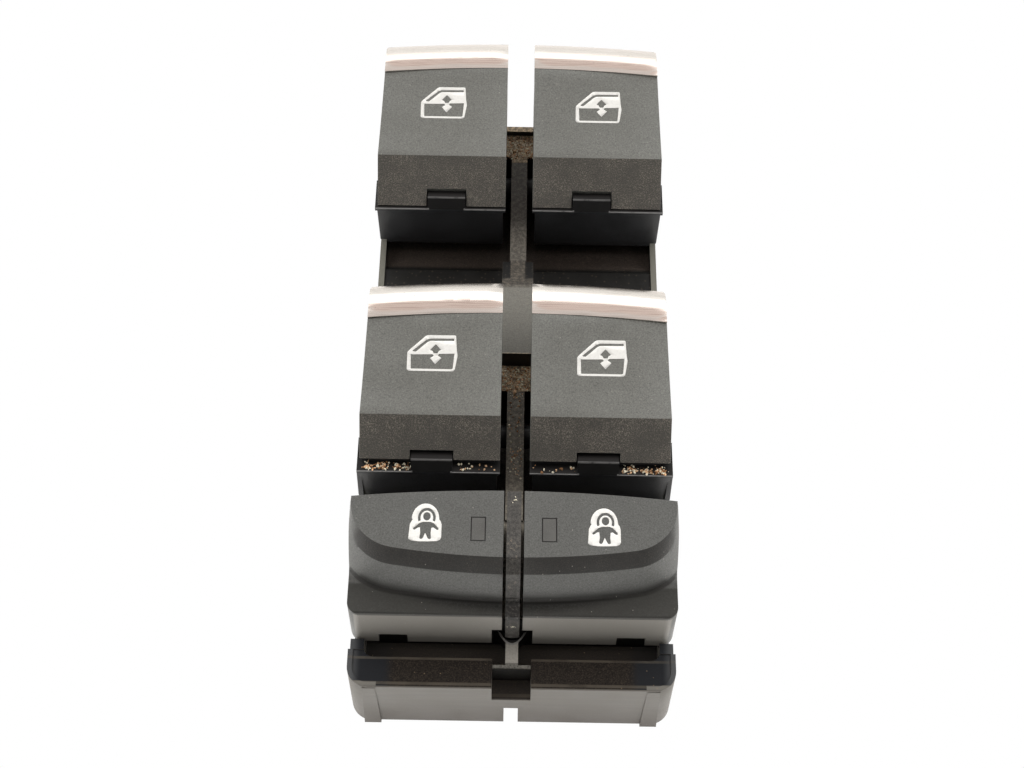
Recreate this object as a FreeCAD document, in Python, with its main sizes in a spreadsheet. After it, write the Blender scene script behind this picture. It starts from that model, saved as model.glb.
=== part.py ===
import FreeCAD, Part
import math
import os

import Sketcher

# Power window switch for a driver's door: four rocker keys in two rows, two child lock keys,
# and the housing, board and contacts that they need. Sizes are millimetres.
#
# The sheet measures Y from the front wall of the base, Z from the surface that the feet stand on,
# and X from the middle. At the end every piece is shifted so that the origin is the bottom centre
# of the whole switch. "Front" keys are the far row (+Y), which works the front windows.

DIMENSIONS = {
    # Cutters and joints
    "over": 1.0,  # how far a cutter reaches past the surface that it opens
    "bite": 0.2,  # how far joined solids reach into each other
    "seat": 0.05,  # gap between faces that bear on each other
    # Base housing
    "body_half": 26.1,  # half width of base and frame between the bumpers
    "bumper_proud": 0.8,  # how far the end bumpers stand out at the sides
    "bumper_wide": 6.6,  # length of the wide part of the near bumper
    "bumper_round": 3.6,  # plan corner radius of the bumpers
    "bumper_top": 14.6,  # height of the ledge
    "rim_wide": 0.8,  # raised rim along the front of the ledge
    "rim_deep": 0.25,  # how far the ledge lies below its rim
    "post_proud": 0.45,  # how far the corner posts stand out at the sides
    "far_bumper": 5.0,  # length of the far bumper
    "end_gap": 0.2,  # gap between the frame's far end and the far bumper
    "skirt_low": 0.3,  # lower edge of the front and far walls, above the feet
    "side_wall": 1.8,  # thickness of the base's side walls
    "front_wall": 1.6,  # thickness of the front and far walls
    "part_line": 6.5,  # height where the frame sits on the base
    "ledge_depth": 5.4,  # front wall to the recess
    "recess_margin": 1.8,  # side of the recess, from the body's side
    "recess_floor": 10.0,  # height of the recess floor
    "recess_round": 1.5,  # plan corner radius of the recess
    "recess_back": 9.8,  # rear end of the near bumper
    "post_back": 8.4,  # rear end of the corner posts beside the recess
    "post_foot": 11.9,  # height where the corner posts start
    "pocket_half": 3.2,  # half width of the catch pocket
    "pocket_floor": 9.9,  # height of the catch pocket floor
    "slot_half": 1.2,  # half width of the slot in the front wall
    "slot_top": 6.4,  # top of the slot
    "foot_margin": 1.5,  # outer side of each corner foot, from the body's side
    "foot_wide": 2.8,  # width of a corner foot
    "foot_proud": 0.4,  # how far a foot stands out of the wall at the bottom
    "foot_draft": 1.3,  # lean of a foot's faces, in degrees
    "foot_top": 14.2,  # top of a foot
    "tray_floor": 3.0,  # upper side of the base floor
    "floor_thick": 1.2,  # thickness of floors in the base
    "skirt_gap": 4.0,  # front wall to the tray's own end wall
    # Key frame
    "frame_gap": 0.4,  # gap between the near bumper and the frame
    "frame_reach": 11.0,  # far end of the frame, from the far row's pivot
    "frame_wall": 1.1,  # side wall beside the rockers
    "end_wall": 1.2,  # near wall, and the post at the far end
    "far_rise": 1.2,  # height of the far post above the centre web
    "rim_rise": 0.4,  # height of the side walls above the deck
    "deck_thick": 1.5,  # thickness of deck and troughs
    "trough_lift": 3.2,  # lowest point of a trough, above the board
    "trough_half": 17.3,  # half length of the trough under a rocker
    "trough_deep": 4.6,  # depth of the trough below the deck
    "lock_rise": 6.6,  # height of the block under the child lock keys, above the deck
    "lock_step": 1.0,  # how far that block is set in from the frame's sides
    "lock_behind": 1.1,  # rear end of that block, behind the child lock keys
    "lock_wall": 1.3,  # wall of that block
    "tongue_proud": 0.25,  # how far the clip tongues stand out of the block
    "tongue_gap": 0.1,  # gap round a clip tongue in its window
    "web_half": 1.5,  # half thickness of the centre web
    "web_rise": 7.2,  # height of the centre web above the deck
    "bridge_half": 2.8,  # half width of the raised bridge and the pads
    "bridge_rise": 4.0,  # height of the bridge between the rows, above the web
    "bridge_start": 12.3,  # near end of the bridge, from the near row's pivot
    "bridge_stop": 20.3,  # where its slope meets the web, from the far row's pivot
    "bridge_slope": 7.6,  # length of the slope
    "pad_length": 5.3,  # length of the wide pad before the bridge and the far wall
    "ear_round": 5.0,  # radius of the ears that hold the trunnions
    "post_radius": 2.2,  # radius of the board posts
    "post_inset": 6.1,  # board posts, from the body's side
    "post_first": 24.3,  # first row of board posts, from the front wall
    "post_last": 6.5,  # last row of board posts, from the frame's far end
    "post_gap": 0.5,  # gap between the connector and the middle row of posts
    # Rockers
    "row_pitch": 55.3,  # distance between the two rows
    "pivot_depth": 46.5,  # pivot of the near row, from the front wall
    "pivot_rise": 7.8,  # height of the pivots above the troughs
    "trunnion_radius": 2.0,  # radius of the trunnions
    "trunnion_play": 0.05,  # radial play of the trunnions
    "trunnion_gap": 0.5,  # inner end of the trunnions, from the middle
    "trunnion_short": 0.1,  # how far a trunnion ends before the frame's outer side
    "side_play": 0.2,  # side play of a rocker
    "shell_inner": 3.0,  # inner side of a rocker shell
    "shell_wall": 1.3,  # wall of a rocker shell
    "shell_reach": 12.5,  # near face of the shell at its top, from the pivot
    "shell_back": 11.1,  # far face of the shell at its top, from the pivot
    "shell_clear": 4.1,  # lower edge of the shell, above the trough
    "shell_draft": 1.0,  # how far the shell's ends lean in
    "shell_round": 2.0,  # rounded lower edges of the shell
    "shell_roof": 1.5,  # thickness of the shell under the key cap
    "platform_inset": 0.3,  # how far the key's seat lies inside the key cap
    "flange_rise": 8.6,  # underside of the flange, above the pivot
    "flange_thick": 0.7,  # thickness of the flange
    "flange_back": 10.5,  # far edge of the flange, from the pivot
    "flange_proud": 0.4,  # how far the flange stands out over the frame's sides
    "wing_drop": 1.4,  # lower edge of the wings beside the shell, below the pivot
    "wing_gap": 1.0,  # gap between a wing and the ear behind it
    "boss_play": 0.2,  # gap between the shell's boss and the key cap
    "boss_start": 0.9,  # near face of the boss inside the key cap, behind the crease
    "boss_roof": 1.0,  # thickness of the boss roof at its near end
    "lever_width": 3.0,  # width of a lever
    "lever_thick": 1.6,  # thickness of a lever
    "lever_clear": 0.7,  # lower end of a lever, above the board
    "lever_play": 0.5,  # gap beside a lever in its slot
    "lever_swing": 2.6,  # half length of the slot that a lever swings in
    "rear_tab_shift": 0.05,  # middle of a near-row notch, outwards from the lever
    "front_tab_shift": -0.55,  # middle of a far-row notch, outwards from the lever
    "tab_half": 3.45,  # half width of the tab in the key's notch
    "tab_lean": 1.5,  # how far the tab leans back
    "tab_tall": 1.7,  # height of the tab above the flange
    "rib_reach": 8.0,  # distance of the spring ribs from the pivot
    "rib_clear": 4.7,  # lower end of the spring ribs, above the trough
    "rib_thick": 1.2,  # thickness of the spring ribs
    "rib_side": 6.1,  # spring ribs, outwards from the lever
    # Window keys
    "key_inner": 2.5,  # inner side of a key
    "key_step": 0.1,  # outer side at the crease, from the frame's side
    "lip_taper": 0.65,  # how much narrower a key is at the lip
    "rear_edge_gap": 1.3,  # lower edge of a near-row key, above the flange
    "front_edge_gap": 0.2,  # lower edge of a far-row key, above the flange
    "face_tall": 6.7,  # height of the crease above the flange
    "face_lean": 1.018,  # how far the lower face leans back for its height
    "crease_reach": 5.3,  # crease, from the pivot
    "top_rise": 3.8,  # edge of the bright trim, above the crease
    "border_reach": 12.8,  # edge of the bright trim, from the pivot
    "scoop_radius": 130.0,  # radius of the scooped top
    "key_wall": 1.8,  # wall of a key cap
    "key_front_wall": 2.5,  # near wall of a key cap, along Y at its foot
    "key_back_step": 0.7,  # far wall of a key cap, before the trim's edge
    "notch_play": 0.2,  # gap beside the tab in the notch
    "notch_gap": 0.7,  # gap above the tab in the notch
    "notch_reach": 2.5,  # length of the notch
    "crest_run": 2.1,  # crest of the trim, from its edge
    "crest_rise": 0.4,  # crest of the trim, above its edge
    "lip_run": 7.6,  # end of the lip, from the trim's edge
    "lip_drop": 1.8,  # lip's end below the trim's edge
    "lip_under_drop": 3.5,  # underside of the lip below the trim's edge
    "lip_round": 0.75,  # radius of the lip's end
    "lip_arch": 250.0,  # plan radius of the lip
    "lip_corner": 1.6,  # plan corner radius of the lip
    "trim_thick": 1.1,  # thickness of the bright trim
    "trim_play": 0.05,  # gap between trim and key cap
    "trim_nose": 0.3,  # inner corner of the trim, below the lip's height
    "shoulder_run": 0.6,  # where the lip's end passes into the crown, from the end
    "shoulder_rise": 0.55,  # height of that line above the lip's end
    "shoulder_round": 1.5,  # radius of the lip's shoulder
    "crown_round": 10.5,  # radius of the crown between crest and shoulder
    "tongue_root": 1.5,  # how far the trim's carrier reaches into the key cap
    "tongue_sag": 1.2,  # depth of the carrier's root below the lip
    "tongue_dip": 0.5,  # depth of its top where it enters the key cap
    "tongue_bevel": 0.3,  # bevel at its end
    # Child lock keys
    "lock_inner": 1.67,  # inner side of a child lock key
    "lock_proud": 0.55,  # how far a child lock key stands out over the frame's sides
    "lock_near": 8.65,  # near face of its skirt
    "lock_far": 27.1,  # far edge at the middle
    "skirt_tall": 10.7,  # height of its skirt
    "plate_rise": 4.6,  # top of its plate above the block
    "plate_thick": 1.4,  # thickness of the plate
    "skirt_thick": 1.2,  # thickness of the skirt
    "skirt_round": 2.0,  # plan corner radius of the skirt
    "skirt_corner": 1.0,  # rounded lower outer corner of the skirt
    "plate_round": 0.5,  # rounded near edge of the plate
    "back_tall": 3.0,  # height of its far wall below the plate
    "dome_tall": 8.0,  # height of the raised pad above the plate
    "dome_chamfer": 2.05,  # chamfer along the pad's near edge
    "dome_side_lean": 0.3,  # how far the pad's sides lean in at its top
    "dome_setback": 4.45,  # near edge of the pad below its chamfer, from the skirt
    "dome_front_radius": 130.0,  # plan radius of the pad's near edge
    "dome_corner_radius": 8.2,  # plan radius of its corners
    "dome_draft": 1.75,  # how far the pad's wall leans out to its foot
    "flare_height": 1.2,  # height of the flare at the foot
    "flare_reach": 1.0,  # reach of the flare at the foot
    "dome_roof": 2.0,  # thickness of the pad's top
    "dome_front_wall": 2.65,  # near wall of the pad
    "back_thick": 2.8,  # far wall of the key at the middle
    "side_short": 3.1,  # how far the side skirts end before the far edge
    "clip_margin": 4.75,  # outer side of the clip window, from the key's side
    "clip_wide": 4.7,  # width of the clip window
    "clip_tall": 2.75,  # height of the clip window
    "chin_notch": 3.35,  # half width of the notch for the catch
    "chin_notch_tall": 5.2,  # height of that notch
    "lock_travel": 1.2,  # how far a child lock key goes down
    "leg_side": 2.8,  # side of a key's square legs
    "leg_play": 0.2,  # gap round a leg in its guide
    "leg_depth": 20.0,  # legs, from the front wall
    "leg_step": 4.5,  # inner leg, from the indicator
    "leg_margin": 4.65,  # outer leg, from the key's side
    "leg_deep": 4.4,  # how far the outer leg reaches into the block
    "leg_clear": 0.3,  # gap under the inner leg when the key is down
    "lens_centre": 5.7,  # indicator, from the middle
    "lens_depth": 20.1,  # indicator, from the front wall
    "lens_wide": 2.1,  # width of the indicator
    "lens_long": 4.0,  # length of the indicator
    "lens_play": 0.08,  # gap round the indicator
    "lens_rim": 0.6,  # rim under the key that holds the indicator
    # Centre strip and catch
    "strip_half": 1.15,  # half width of the strip
    "strip_near": 8.4,  # near face of the strip's chin
    "strip_thick": 1.4,  # thickness of the chin
    "strip_rise": 1.7,  # lower end of the chin, above the skirts
    "strip_short": 0.1,  # how far the strip ends before the keys' far edge
    "catch_bar_near": 3.5,  # near face of the catch's crossbar
    "catch_bar_thick": 0.8,  # thickness of the crossbar
    "catch_drop": 0.2,  # top of the catch, below the ledge
    "catch_stem_half": 1.05,  # half width of the stem
    "catch_play": 0.1,  # gap beside the crossbar
    "catch_flare": 2.0,  # radius where the stem widens at the frame
    # Board and connector
    "board_lift": 2.0,  # upper side of the circuit board, above the base floor
    "board_thick": 1.6,  # thickness of the board
    "board_gap": 0.9,  # gap between the board and the base's side walls
    "board_end_gap": 0.6,  # gap between the board and the frame's near wall
    "board_short": 3.8,  # far end of the board, from the frame's far end
    "hole_play": 0.15,  # gap round a screw in the board
    "screw_radius": 0.9,  # radius of the board screws
    "screw_play": 0.03,  # gap round a screw in its post
    "screw_deep": 6.0,  # depth of the bore for a screw
    "screw_short": 0.3,  # gap behind a screw's end
    "screw_head": 1.8,  # radius of a screw head
    "screw_head_tall": 0.35,  # height of a screw head
    "header_shift": 1.15,  # middle of the connector, before the middle of the rows
    "header_half": 14.0,  # half length of the connector shell
    "header_depth": 10.0,  # size of the shell along Y
    "header_low": 0.5,  # mouth of the shell
    "header_tall": 5.2,  # closed end of the shell, above the board
    "header_wall": 1.0,  # wall of the shell
    "header_end": 1.4,  # thickness of its closed end
    "header_play": 0.3,  # gap round the shell in board and base
    "header_flange": 1.6,  # flange that rests on the board
    "header_flange_thick": 1.0,  # thickness of that flange
    "code_half": 1.5,  # half width of the coding slot in the shell
    "code_top": 3.2,  # top of the coding slot
    "pin_count": 9.0,  # pins in each of the two rows
    "pin_pitch": 2.54,  # distance between pins
    "pin_side": 0.64,  # side of a square pin
    "pin_row": 2.0,  # distance of each pin row from the shell's middle
    "pin_low": 5.0,  # free end of the pins in the shell
    "pin_rise": 0.1,  # gap between a bent pin and the shell
    "pin_land": 7.8,  # where a pin lands on the board, from the shell's middle
    "slider_wide": 7.0,  # size of a contact slider along X
    "slider_long": 6.4,  # size of a contact slider along Y
    "slider_tall": 1.4,  # height of a slider
    "slider_floor": 0.4,  # floor under the lever in a slider
    "slider_lift": 0.05,  # running gap over the board
    "slider_play": 0.16,  # gap on each side of the lever in its notch
    "switch_side": 6.4,  # side of a push switch body
    "switch_tall": 7.4,  # height of a push switch body
    "well_deep": 3.3,  # depth of the well that takes the key's leg
    "led_side": 1.6,  # side of a lamp on the board
    "led_tall": 0.8,  # height of a lamp
    "led_offset": 6.0,  # key lamps, from the pivot
    "guide_play": 0.1,  # gap round a light guide
    "guide_lift": 0.2,  # gap between a lamp and its light guide
    "guide_side": 1.8,  # side of a light guide
    "guide_rise": 1.6,  # top of a light guide, above the block
    "guide_rim": 0.7,  # rim that carries a light guide
    "guide_rim_tall": 0.8,  # height of that rim
    # Springs
    "leaf_thick": 0.3,  # thickness of the rocker springs
    "leaf_width": 3.0,  # width of the rocker springs
    "lock_leaf_reach": 4.5,  # half length of a child lock spring
    "leaf_lift": 0.3,  # gap between a rocker spring and the trough
}

NEAR_ROW, FAR_ROW = "rear", "front"
ROWS = ((NEAR_ROW, 0), (FAR_ROW, 1))
SIDES = (("left", -1), ("right", 1))


class Size:
    """A number together with the sheet expression that gives it."""

    def __init__(self, text, value):
        self.text = text
        self.value = value

    @staticmethod
    def of(item):
        return item if isinstance(item, Size) else Size(f"({float(item)!r})", float(item))

    def joined(self, sign, other, value):
        return Size(f"({self.text} {sign} {other.text})", value)

    def __add__(self, other):
        other = Size.of(other)
        return self.joined("+", other, self.value + other.value)

    def __sub__(self, other):
        other = Size.of(other)
        return self.joined("-", other, self.value - other.value)

    def __mul__(self, other):
        other = Size.of(other)
        return self.joined("*", other, self.value * other.value)

    def __truediv__(self, other):
        other = Size.of(other)
        return self.joined("/", other, self.value / other.value)

    def __radd__(self, other):
        return Size.of(other) + self

    def __rsub__(self, other):
        return Size.of(other) - self

    def __rmul__(self, other):
        return Size.of(other) * self

    def __neg__(self):
        return Size.of(0) - self


def root(item):
    return Size(f"sqrt({item.text})", math.sqrt(item.value))


class Sizes:
    """Every alias of the sheet as a Size."""


doc = FreeCAD.newDocument("power_window_switch")
nodes = {}


def fill_sheet():
    sheet = doc.addObject("Spreadsheet::Sheet", "dims")
    sizes = Sizes()
    for row, (alias, number) in enumerate(DIMENSIONS.items(), 1):
        sheet.set(f"A{row}", alias)
        sheet.set(f"B{row}", str(number))
        sheet.setAlias(f"B{row}", alias)
        setattr(sizes, alias, Size(f"dims.{alias}", float(number)))
    doc.recompute()
    return sizes


d = fill_sheet()


# Tools for making bound objects

def bind(item, **targets):
    for name, size in targets.items():
        item.setExpression(name.replace("_at_", "."), Size.of(size).text)


def place(item, x=0, y=0, z=0):
    item.setExpression("Placement.Base.x", Size.of(x).text)
    item.setExpression("Placement.Base.y", Size.of(y).text)
    item.setExpression("Placement.Base.z", Size.of(z).text)


def box(name, x, y, z):
    item = doc.addObject("Part::Box", name)
    bind(item, Length=Size.of(x[1]) - x[0], Width=Size.of(y[1]) - y[0], Height=Size.of(z[1]) - z[0])
    place(item, x[0], y[0], z[0])
    return item


def mirrored(side, low, high):
    """An X range given for the right-hand side, or its mirror image."""
    return (Size.of(low), Size.of(high)) if side > 0 else (-Size.of(high), -Size.of(low))


def rod(name, axis, centre, span, radius):
    item = doc.addObject("Part::Cylinder", name)
    turn = {"X": FreeCAD.Rotation(FreeCAD.Vector(0, 1, 0), 90), "Z": FreeCAD.Rotation()}[axis]
    item.Placement = FreeCAD.Placement(FreeCAD.Vector(), turn)
    bind(item, Radius=radius, Height=Size.of(span[1]) - span[0])
    if axis == "X":
        place(item, span[0], centre[0], centre[1])
    else:
        place(item, centre[0], centre[1], span[0])
    return item


def arc_edge(start, end, radius):
    """Arc from start to end, counterclockwise for a positive radius, as a sketch stores it."""
    if radius < 0:
        start, end = end, start
        radius = -radius
    chord = end - start
    half = chord.Length / 2
    left = FreeCAD.Vector(-chord.y, chord.x, 0).normalize()
    centre = (start + end) * 0.5 + left * math.sqrt(max(radius * radius - half * half, 0))
    first = math.atan2(start.y - centre.y, start.x - centre.x)
    last = math.atan2(end.y - centre.y, end.x - centre.x)
    if last <= first:
        last += 2 * math.pi
    circle = Part.Circle(centre, FreeCAD.Vector(0, 0, 1), radius)
    return Part.ArcOfCircle(circle, first, last)


TURNS = {
    "XY": FreeCAD.Rotation(),
    "YZ": FreeCAD.Rotation(FreeCAD.Vector(1, 1, 1), 120),
    "XZ": FreeCAD.Rotation(FreeCAD.Vector(1, 0, 0), 90),
}


def draw(sketch, corners):
    """Closed outline: each corner is (u, v), or (u, v, r) if an arc of radius r leads to it."""
    flat = [FreeCAD.Vector(Size.of(c[0]).value, Size.of(c[1]).value, 0) for c in corners]
    ends = []
    count = len(corners)
    for i, corner in enumerate(corners):
        before = (i - 1) % count
        if len(corner) == 2:
            sketch.addGeometry(Part.LineSegment(flat[before], flat[i]), False)
            ends.append((1, 2))
        else:
            radius = Size.of(corner[2])
            sketch.addGeometry(arc_edge(flat[before], flat[i], radius.value), False)
            ends.append((1, 2) if radius.value > 0 else (2, 1))
            length = radius if radius.value > 0 else -radius
            index = sketch.addConstraint(Sketcher.Constraint("Radius", i, length.value))
            sketch.setExpression(f"Constraints[{index}]", length.text)
    for i in range(count):
        after = (i + 1) % count
        sketch.addConstraint(Sketcher.Constraint("Coincident", i, ends[i][1], after, ends[after][0]))
    for i, corner in enumerate(corners):
        for kind, size in (("DistanceX", corner[0]), ("DistanceY", corner[1])):
            size = Size.of(size)
            rule = Sketcher.Constraint(kind, -1, 1, i, ends[i][1], size.value)
            index = sketch.addConstraint(rule)
            sketch.setExpression(f"Constraints[{index}]", size.text)


def outline(name, plane, level, corners):
    sketch = doc.addObject("Sketcher::SketchObject", name)
    sketch.Placement = FreeCAD.Placement(FreeCAD.Vector(), TURNS[plane])
    offset = {"XY": (0, 0, level), "YZ": (level, 0, 0), "XZ": (0, level, 0)}[plane]
    place(sketch, *offset)
    draw(sketch, corners)
    return sketch


def prism(name, plane, span, corners):
    """Outline extruded from span[0] to span[1] along the plane's own axis."""
    item = doc.addObject("Part::Extrusion", name)
    item.Base = outline(name + "_outline", plane, span[0], corners)
    item.DirMode = "Normal"
    item.Solid = True
    item.Reversed = plane == "XZ"
    bind(item, LengthFwd=Size.of(span[1]) - span[0])
    return item


def fused(name, *items):
    item = doc.addObject("Part::MultiFuse", name)
    item.Shapes = list(items)
    item.Refine = True
    return item


def common(name, *items):
    item = doc.addObject("Part::MultiCommon", name)
    item.Shapes = list(items)
    return item


def less(name, base, *tools):
    item = doc.addObject("Part::Cut", name)
    item.Base = base
    item.Tool = tools[0] if len(tools) == 1 else fused(name + "_tools", *tools)
    item.Refine = True
    return item


def group(name, items):
    item = doc.addObject("Part::Compound", name)
    item.Links = items
    return item


def finish(label, item, rows_back=0):
    """Names a finished piece and moves it into the switch's own frame."""
    item.Label = label
    item.setExpression("Placement.Base.y", (rows_back * d.row_pitch - centre_depth).text)
    nodes[label] = item


# Sizes that follow from the sheet

centre_depth = (d.pivot_depth + d.border_reach + d.lip_run + d.row_pitch - d.foot_proud) / 2

far_pivot = d.pivot_depth + d.row_pitch
frame_near = d.recess_back + d.frame_gap
frame_far = far_pivot + d.frame_reach
base_length = frame_far + d.end_gap + d.far_bumper
lock_back = d.lock_far + d.lock_behind
bumper_half = d.body_half + d.bumper_proud
post_half = d.body_half + d.post_proud
recess_half = d.body_half - d.recess_margin
lock_outer = d.body_half + d.lock_proud

board_top = d.tray_floor + d.board_lift
board_low = board_top - d.board_thick
trough_low = board_top + d.trough_lift
trough_radius = (d.trough_half * d.trough_half + d.trough_deep * d.trough_deep) / (2 * d.trough_deep)
deck_top = trough_low + d.trough_deep
rim_top = deck_top + d.rim_rise
web_top = deck_top + d.web_rise
lock_top = deck_top + d.lock_rise
pivot_height = trough_low + d.pivot_rise

shell_near = d.pivot_depth - d.shell_reach
shell_far = d.pivot_depth + d.shell_back
shell_outer = d.body_half - d.frame_wall - d.side_play
shell_low = trough_low + d.shell_clear
flange_low = pivot_height + d.flange_rise
flange_top = flange_low + d.flange_thick
lever_centre = (d.shell_inner + shell_outer) / 2
rib_centre = lever_centre + d.rib_side
rib_low = trough_low + d.rib_clear
tab_centre = {"rear": lever_centre + d.rear_tab_shift, "front": lever_centre + d.front_tab_shift}
tab_top = flange_top + d.tab_tall

key_low = {"rear": flange_top + d.rear_edge_gap, "front": flange_top + d.front_edge_gap}
key_outer = d.body_half - d.key_step
lip_outer = key_outer - d.lip_taper
crease_depth = d.pivot_depth - d.crease_reach
crease_height = flange_top + d.face_tall
key_near = {row: crease_depth - (crease_height - low) * d.face_lean for row, low in key_low.items()}
border_depth = d.pivot_depth + d.border_reach
border_height = crease_height + d.top_rise
key_back = border_depth - d.key_back_step
boss_ceiling = crease_height - d.key_wall - 2 * d.boss_play - d.boss_roof
crest_depth = border_depth + d.crest_run
crest_height = border_height + d.crest_rise
lip_depth = border_depth + d.lip_run
lip_height = border_height - d.lip_drop
lip_under = border_height - d.lip_under_drop

plate_top = lock_top + d.plate_rise
dome_top = plate_top + d.dome_tall
dome_near = d.lock_near + d.dome_setback
dome_hollow = dome_top - d.dome_roof
skirt_bottom = plate_top - d.skirt_tall
clip_far = lock_outer - d.clip_margin
clip_near = clip_far - d.clip_wide
clip_top = skirt_bottom + d.clip_tall
leg_inner = d.lens_centre + d.leg_step
leg_outer = lock_outer - d.leg_margin

switch_top = board_top + d.switch_tall
switch_well = switch_top - d.well_deep
header_centre = d.pivot_depth + d.row_pitch / 2 - d.header_shift
header_top = board_top + d.header_tall


# Base housing

class Body:
    """A PartDesign body whose sketches lie on its own horizontal plane."""

    def __init__(self, name):
        self.body = doc.addObject("PartDesign::Body", name)
        doc.recompute()
        self.plane = next(o for o in self.body.Origin.OriginFeatures if o.Role == "XY_Plane")

    def sketch(self, name, level, corners):
        sketch = self.body.newObject("Sketcher::SketchObject", name + "_sketch")
        sketch.AttachmentSupport = [(self.plane, "")]
        sketch.MapMode = "FlatFace"
        sketch.setExpression("AttachmentOffset.Base.z", Size.of(level).text)
        draw(sketch, corners)
        return sketch

    def pad(self, name, span, corners):
        sketch = self.sketch(name, span[0], corners)
        pad = self.body.newObject("PartDesign::Pad", name)
        pad.Profile = sketch
        bind(pad, Length=Size.of(span[1]) - span[0])
        doc.recompute()
        return pad

    def pocket(self, name, span, corners):
        """Cuts the outline from span[0] up to span[1]."""
        before = self.body.Shape.Volume
        sketch = self.sketch(name, span[1], corners)
        pocket = self.body.newObject("PartDesign::Pocket", name)
        pocket.Profile = sketch
        bind(pocket, Length=Size.of(span[1]) - span[0])
        doc.recompute()
        if not self.body.Shape.Volume < before:
            raise RuntimeError(f"{name} cuts nothing")
        return pocket


def rectangle(x, y):
    return [(x[0], y[0]), (x[1], y[0]), (x[1], y[1]), (x[0], y[1])]


def bumper_plan(near, far, rounded_near, inset=0):
    """Bumper outline in plan, with two rounded corners at the open end."""
    half, r = bumper_half - inset, d.bumper_round - inset
    if rounded_near:
        return [(-half, far), (-half, near + r), (r - half, near, r), (half - r, near),
                (half, near + r, r), (half, far)]
    return [(half, near), (half, far - r), (half - r, far, r), (r - half, far),
            (-half, far - r, r), (-half, near)]


def base_housing():
    base = Body("base")
    inner = d.body_half - d.side_wall
    far_start = base_length - d.far_bumper
    far_inner = far_start + d.front_wall
    foot_outer = d.body_half - d.foot_margin
    foot_inner = foot_outer - d.foot_wide
    base.pad("skirt", (0, d.part_line),
             rectangle((-d.body_half, d.body_half), (d.bumper_round, base_length - d.bumper_round)))
    base.pad("near_bumper", (0, d.bumper_top), bumper_plan(Size.of(0), d.bumper_wide, True))
    base.pad("near_shelf", (0, d.post_foot),
             rectangle((-d.body_half, d.body_half), (d.bumper_round, d.recess_back)))
    base.pad("corner_posts", (0, d.bumper_top),
             rectangle((-post_half, post_half), (d.bumper_wide - d.over, d.post_back)))
    base.pad("far_bumper", (0, d.bumper_top), bumper_plan(far_start, base_length, False))
    for name, side in SIDES:
        for end, wall in (("near", (-d.foot_proud, d.front_wall)),
                          ("far", (base_length - d.front_wall, base_length + d.foot_proud))):
            foot = base.pad(f"{end}_{name}_foot", (0, d.foot_top),
                            rectangle(mirrored(side, foot_inner, foot_outer), wall))
            bind(foot, TaperAngle=Size.of(0) - d.foot_draft)
            doc.recompute()
    for end, wall in (("near", (-d.over, d.front_wall + d.over)),
                      ("far", (far_start - d.over, base_length + d.over))):
        base.pocket(f"{end}_wall_lift", (0, d.skirt_low), rectangle((-foot_inner, foot_inner), wall))
    base.pocket("tray", (d.tray_floor, d.part_line),
                rectangle((-inner, inner), (d.recess_back, far_start)))
    base.pocket("tray_near", (d.tray_floor, d.recess_floor - d.floor_thick),
                rectangle((-inner, inner), (d.skirt_gap + d.floor_thick, d.recess_back)))
    base.pocket("under_tray", (0, d.tray_floor - d.floor_thick),
                rectangle((-inner, inner), (d.front_wall, far_start)))
    for name, side in SIDES:
        base.pocket(f"near_skirt_{name}", (0, d.bumper_top - d.floor_thick),
                    rectangle(mirrored(side, d.pocket_half + d.floor_thick, inner - d.front_wall),
                              (d.front_wall, d.skirt_gap)))
    base.pocket("near_skirt_middle", (0, d.pocket_floor - d.floor_thick),
                rectangle((-d.pocket_half, d.pocket_half), (d.front_wall, d.skirt_gap)))
    base.pocket("far_skirt", (0, d.bumper_top - d.floor_thick),
                rectangle((-inner, inner), (far_inner, base_length - d.front_wall)))
    base.pocket("ledge", (d.bumper_top - d.rim_deep, d.bumper_top),
                bumper_plan(d.rim_wide, d.bumper_wide, True, d.rim_wide))
    half, r = recess_half, d.recess_round
    back = d.recess_back + d.over
    base.pocket("recess", (d.recess_floor, d.bumper_top),
                [(-half, back), (-half, d.ledge_depth + r), (r - half, d.ledge_depth, r),
                 (half - r, d.ledge_depth), (half, d.ledge_depth + r, r), (half, back)])
    base.pocket("catch_pocket", (d.pocket_floor, d.bumper_top),
                rectangle((-d.pocket_half, d.pocket_half), (-d.over, d.ledge_depth + d.over)))
    base.pocket("slot", (0, d.slot_top),
                rectangle((-d.slot_half, d.slot_half), (-d.over, d.front_wall + d.bite)))
    reach = d.header_half + d.header_play
    depth = d.header_depth / 2 + d.header_play
    base.pocket("connector_opening", (0, d.tray_floor),
                rectangle((-reach, reach), (header_centre - depth, header_centre + depth)))
    finish("base_housing", base.body)


# Key frame: walls, troughs, centre web with its bridge, ears and the block under the child locks

def arc_height(radius, low, distance):
    """Height of a trough surface of this radius at a distance from its middle."""
    return low + radius - root(radius * radius - distance * distance)


def frame_floor():
    first = d.pivot_depth
    second = d.pivot_depth + d.row_pitch
    under = trough_radius + d.deck_thick
    under_low = trough_low - d.deck_thick
    rise = trough_radius - d.trough_deep + d.deck_thick
    under_half = root(under * under - rise * rise)
    deck_low = deck_top - d.deck_thick
    start = lock_back - d.lock_wall
    corners = [
        (start, deck_low),
        (first - under_half, deck_low),
        (first + under_half, deck_low, under),
        (second - under_half, deck_low),
        (frame_far, arc_height(under, under_low, frame_far - second), under),
        (frame_far, arc_height(trough_radius, trough_low, frame_far - second)),
        (second - d.trough_half, deck_top, -trough_radius),
        (first + d.trough_half, deck_top),
        (first - d.trough_half, deck_top, -trough_radius),
        (start, deck_top),
    ]
    return prism("frame_floor", "YZ", (-d.body_half, d.body_half), corners)


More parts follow.
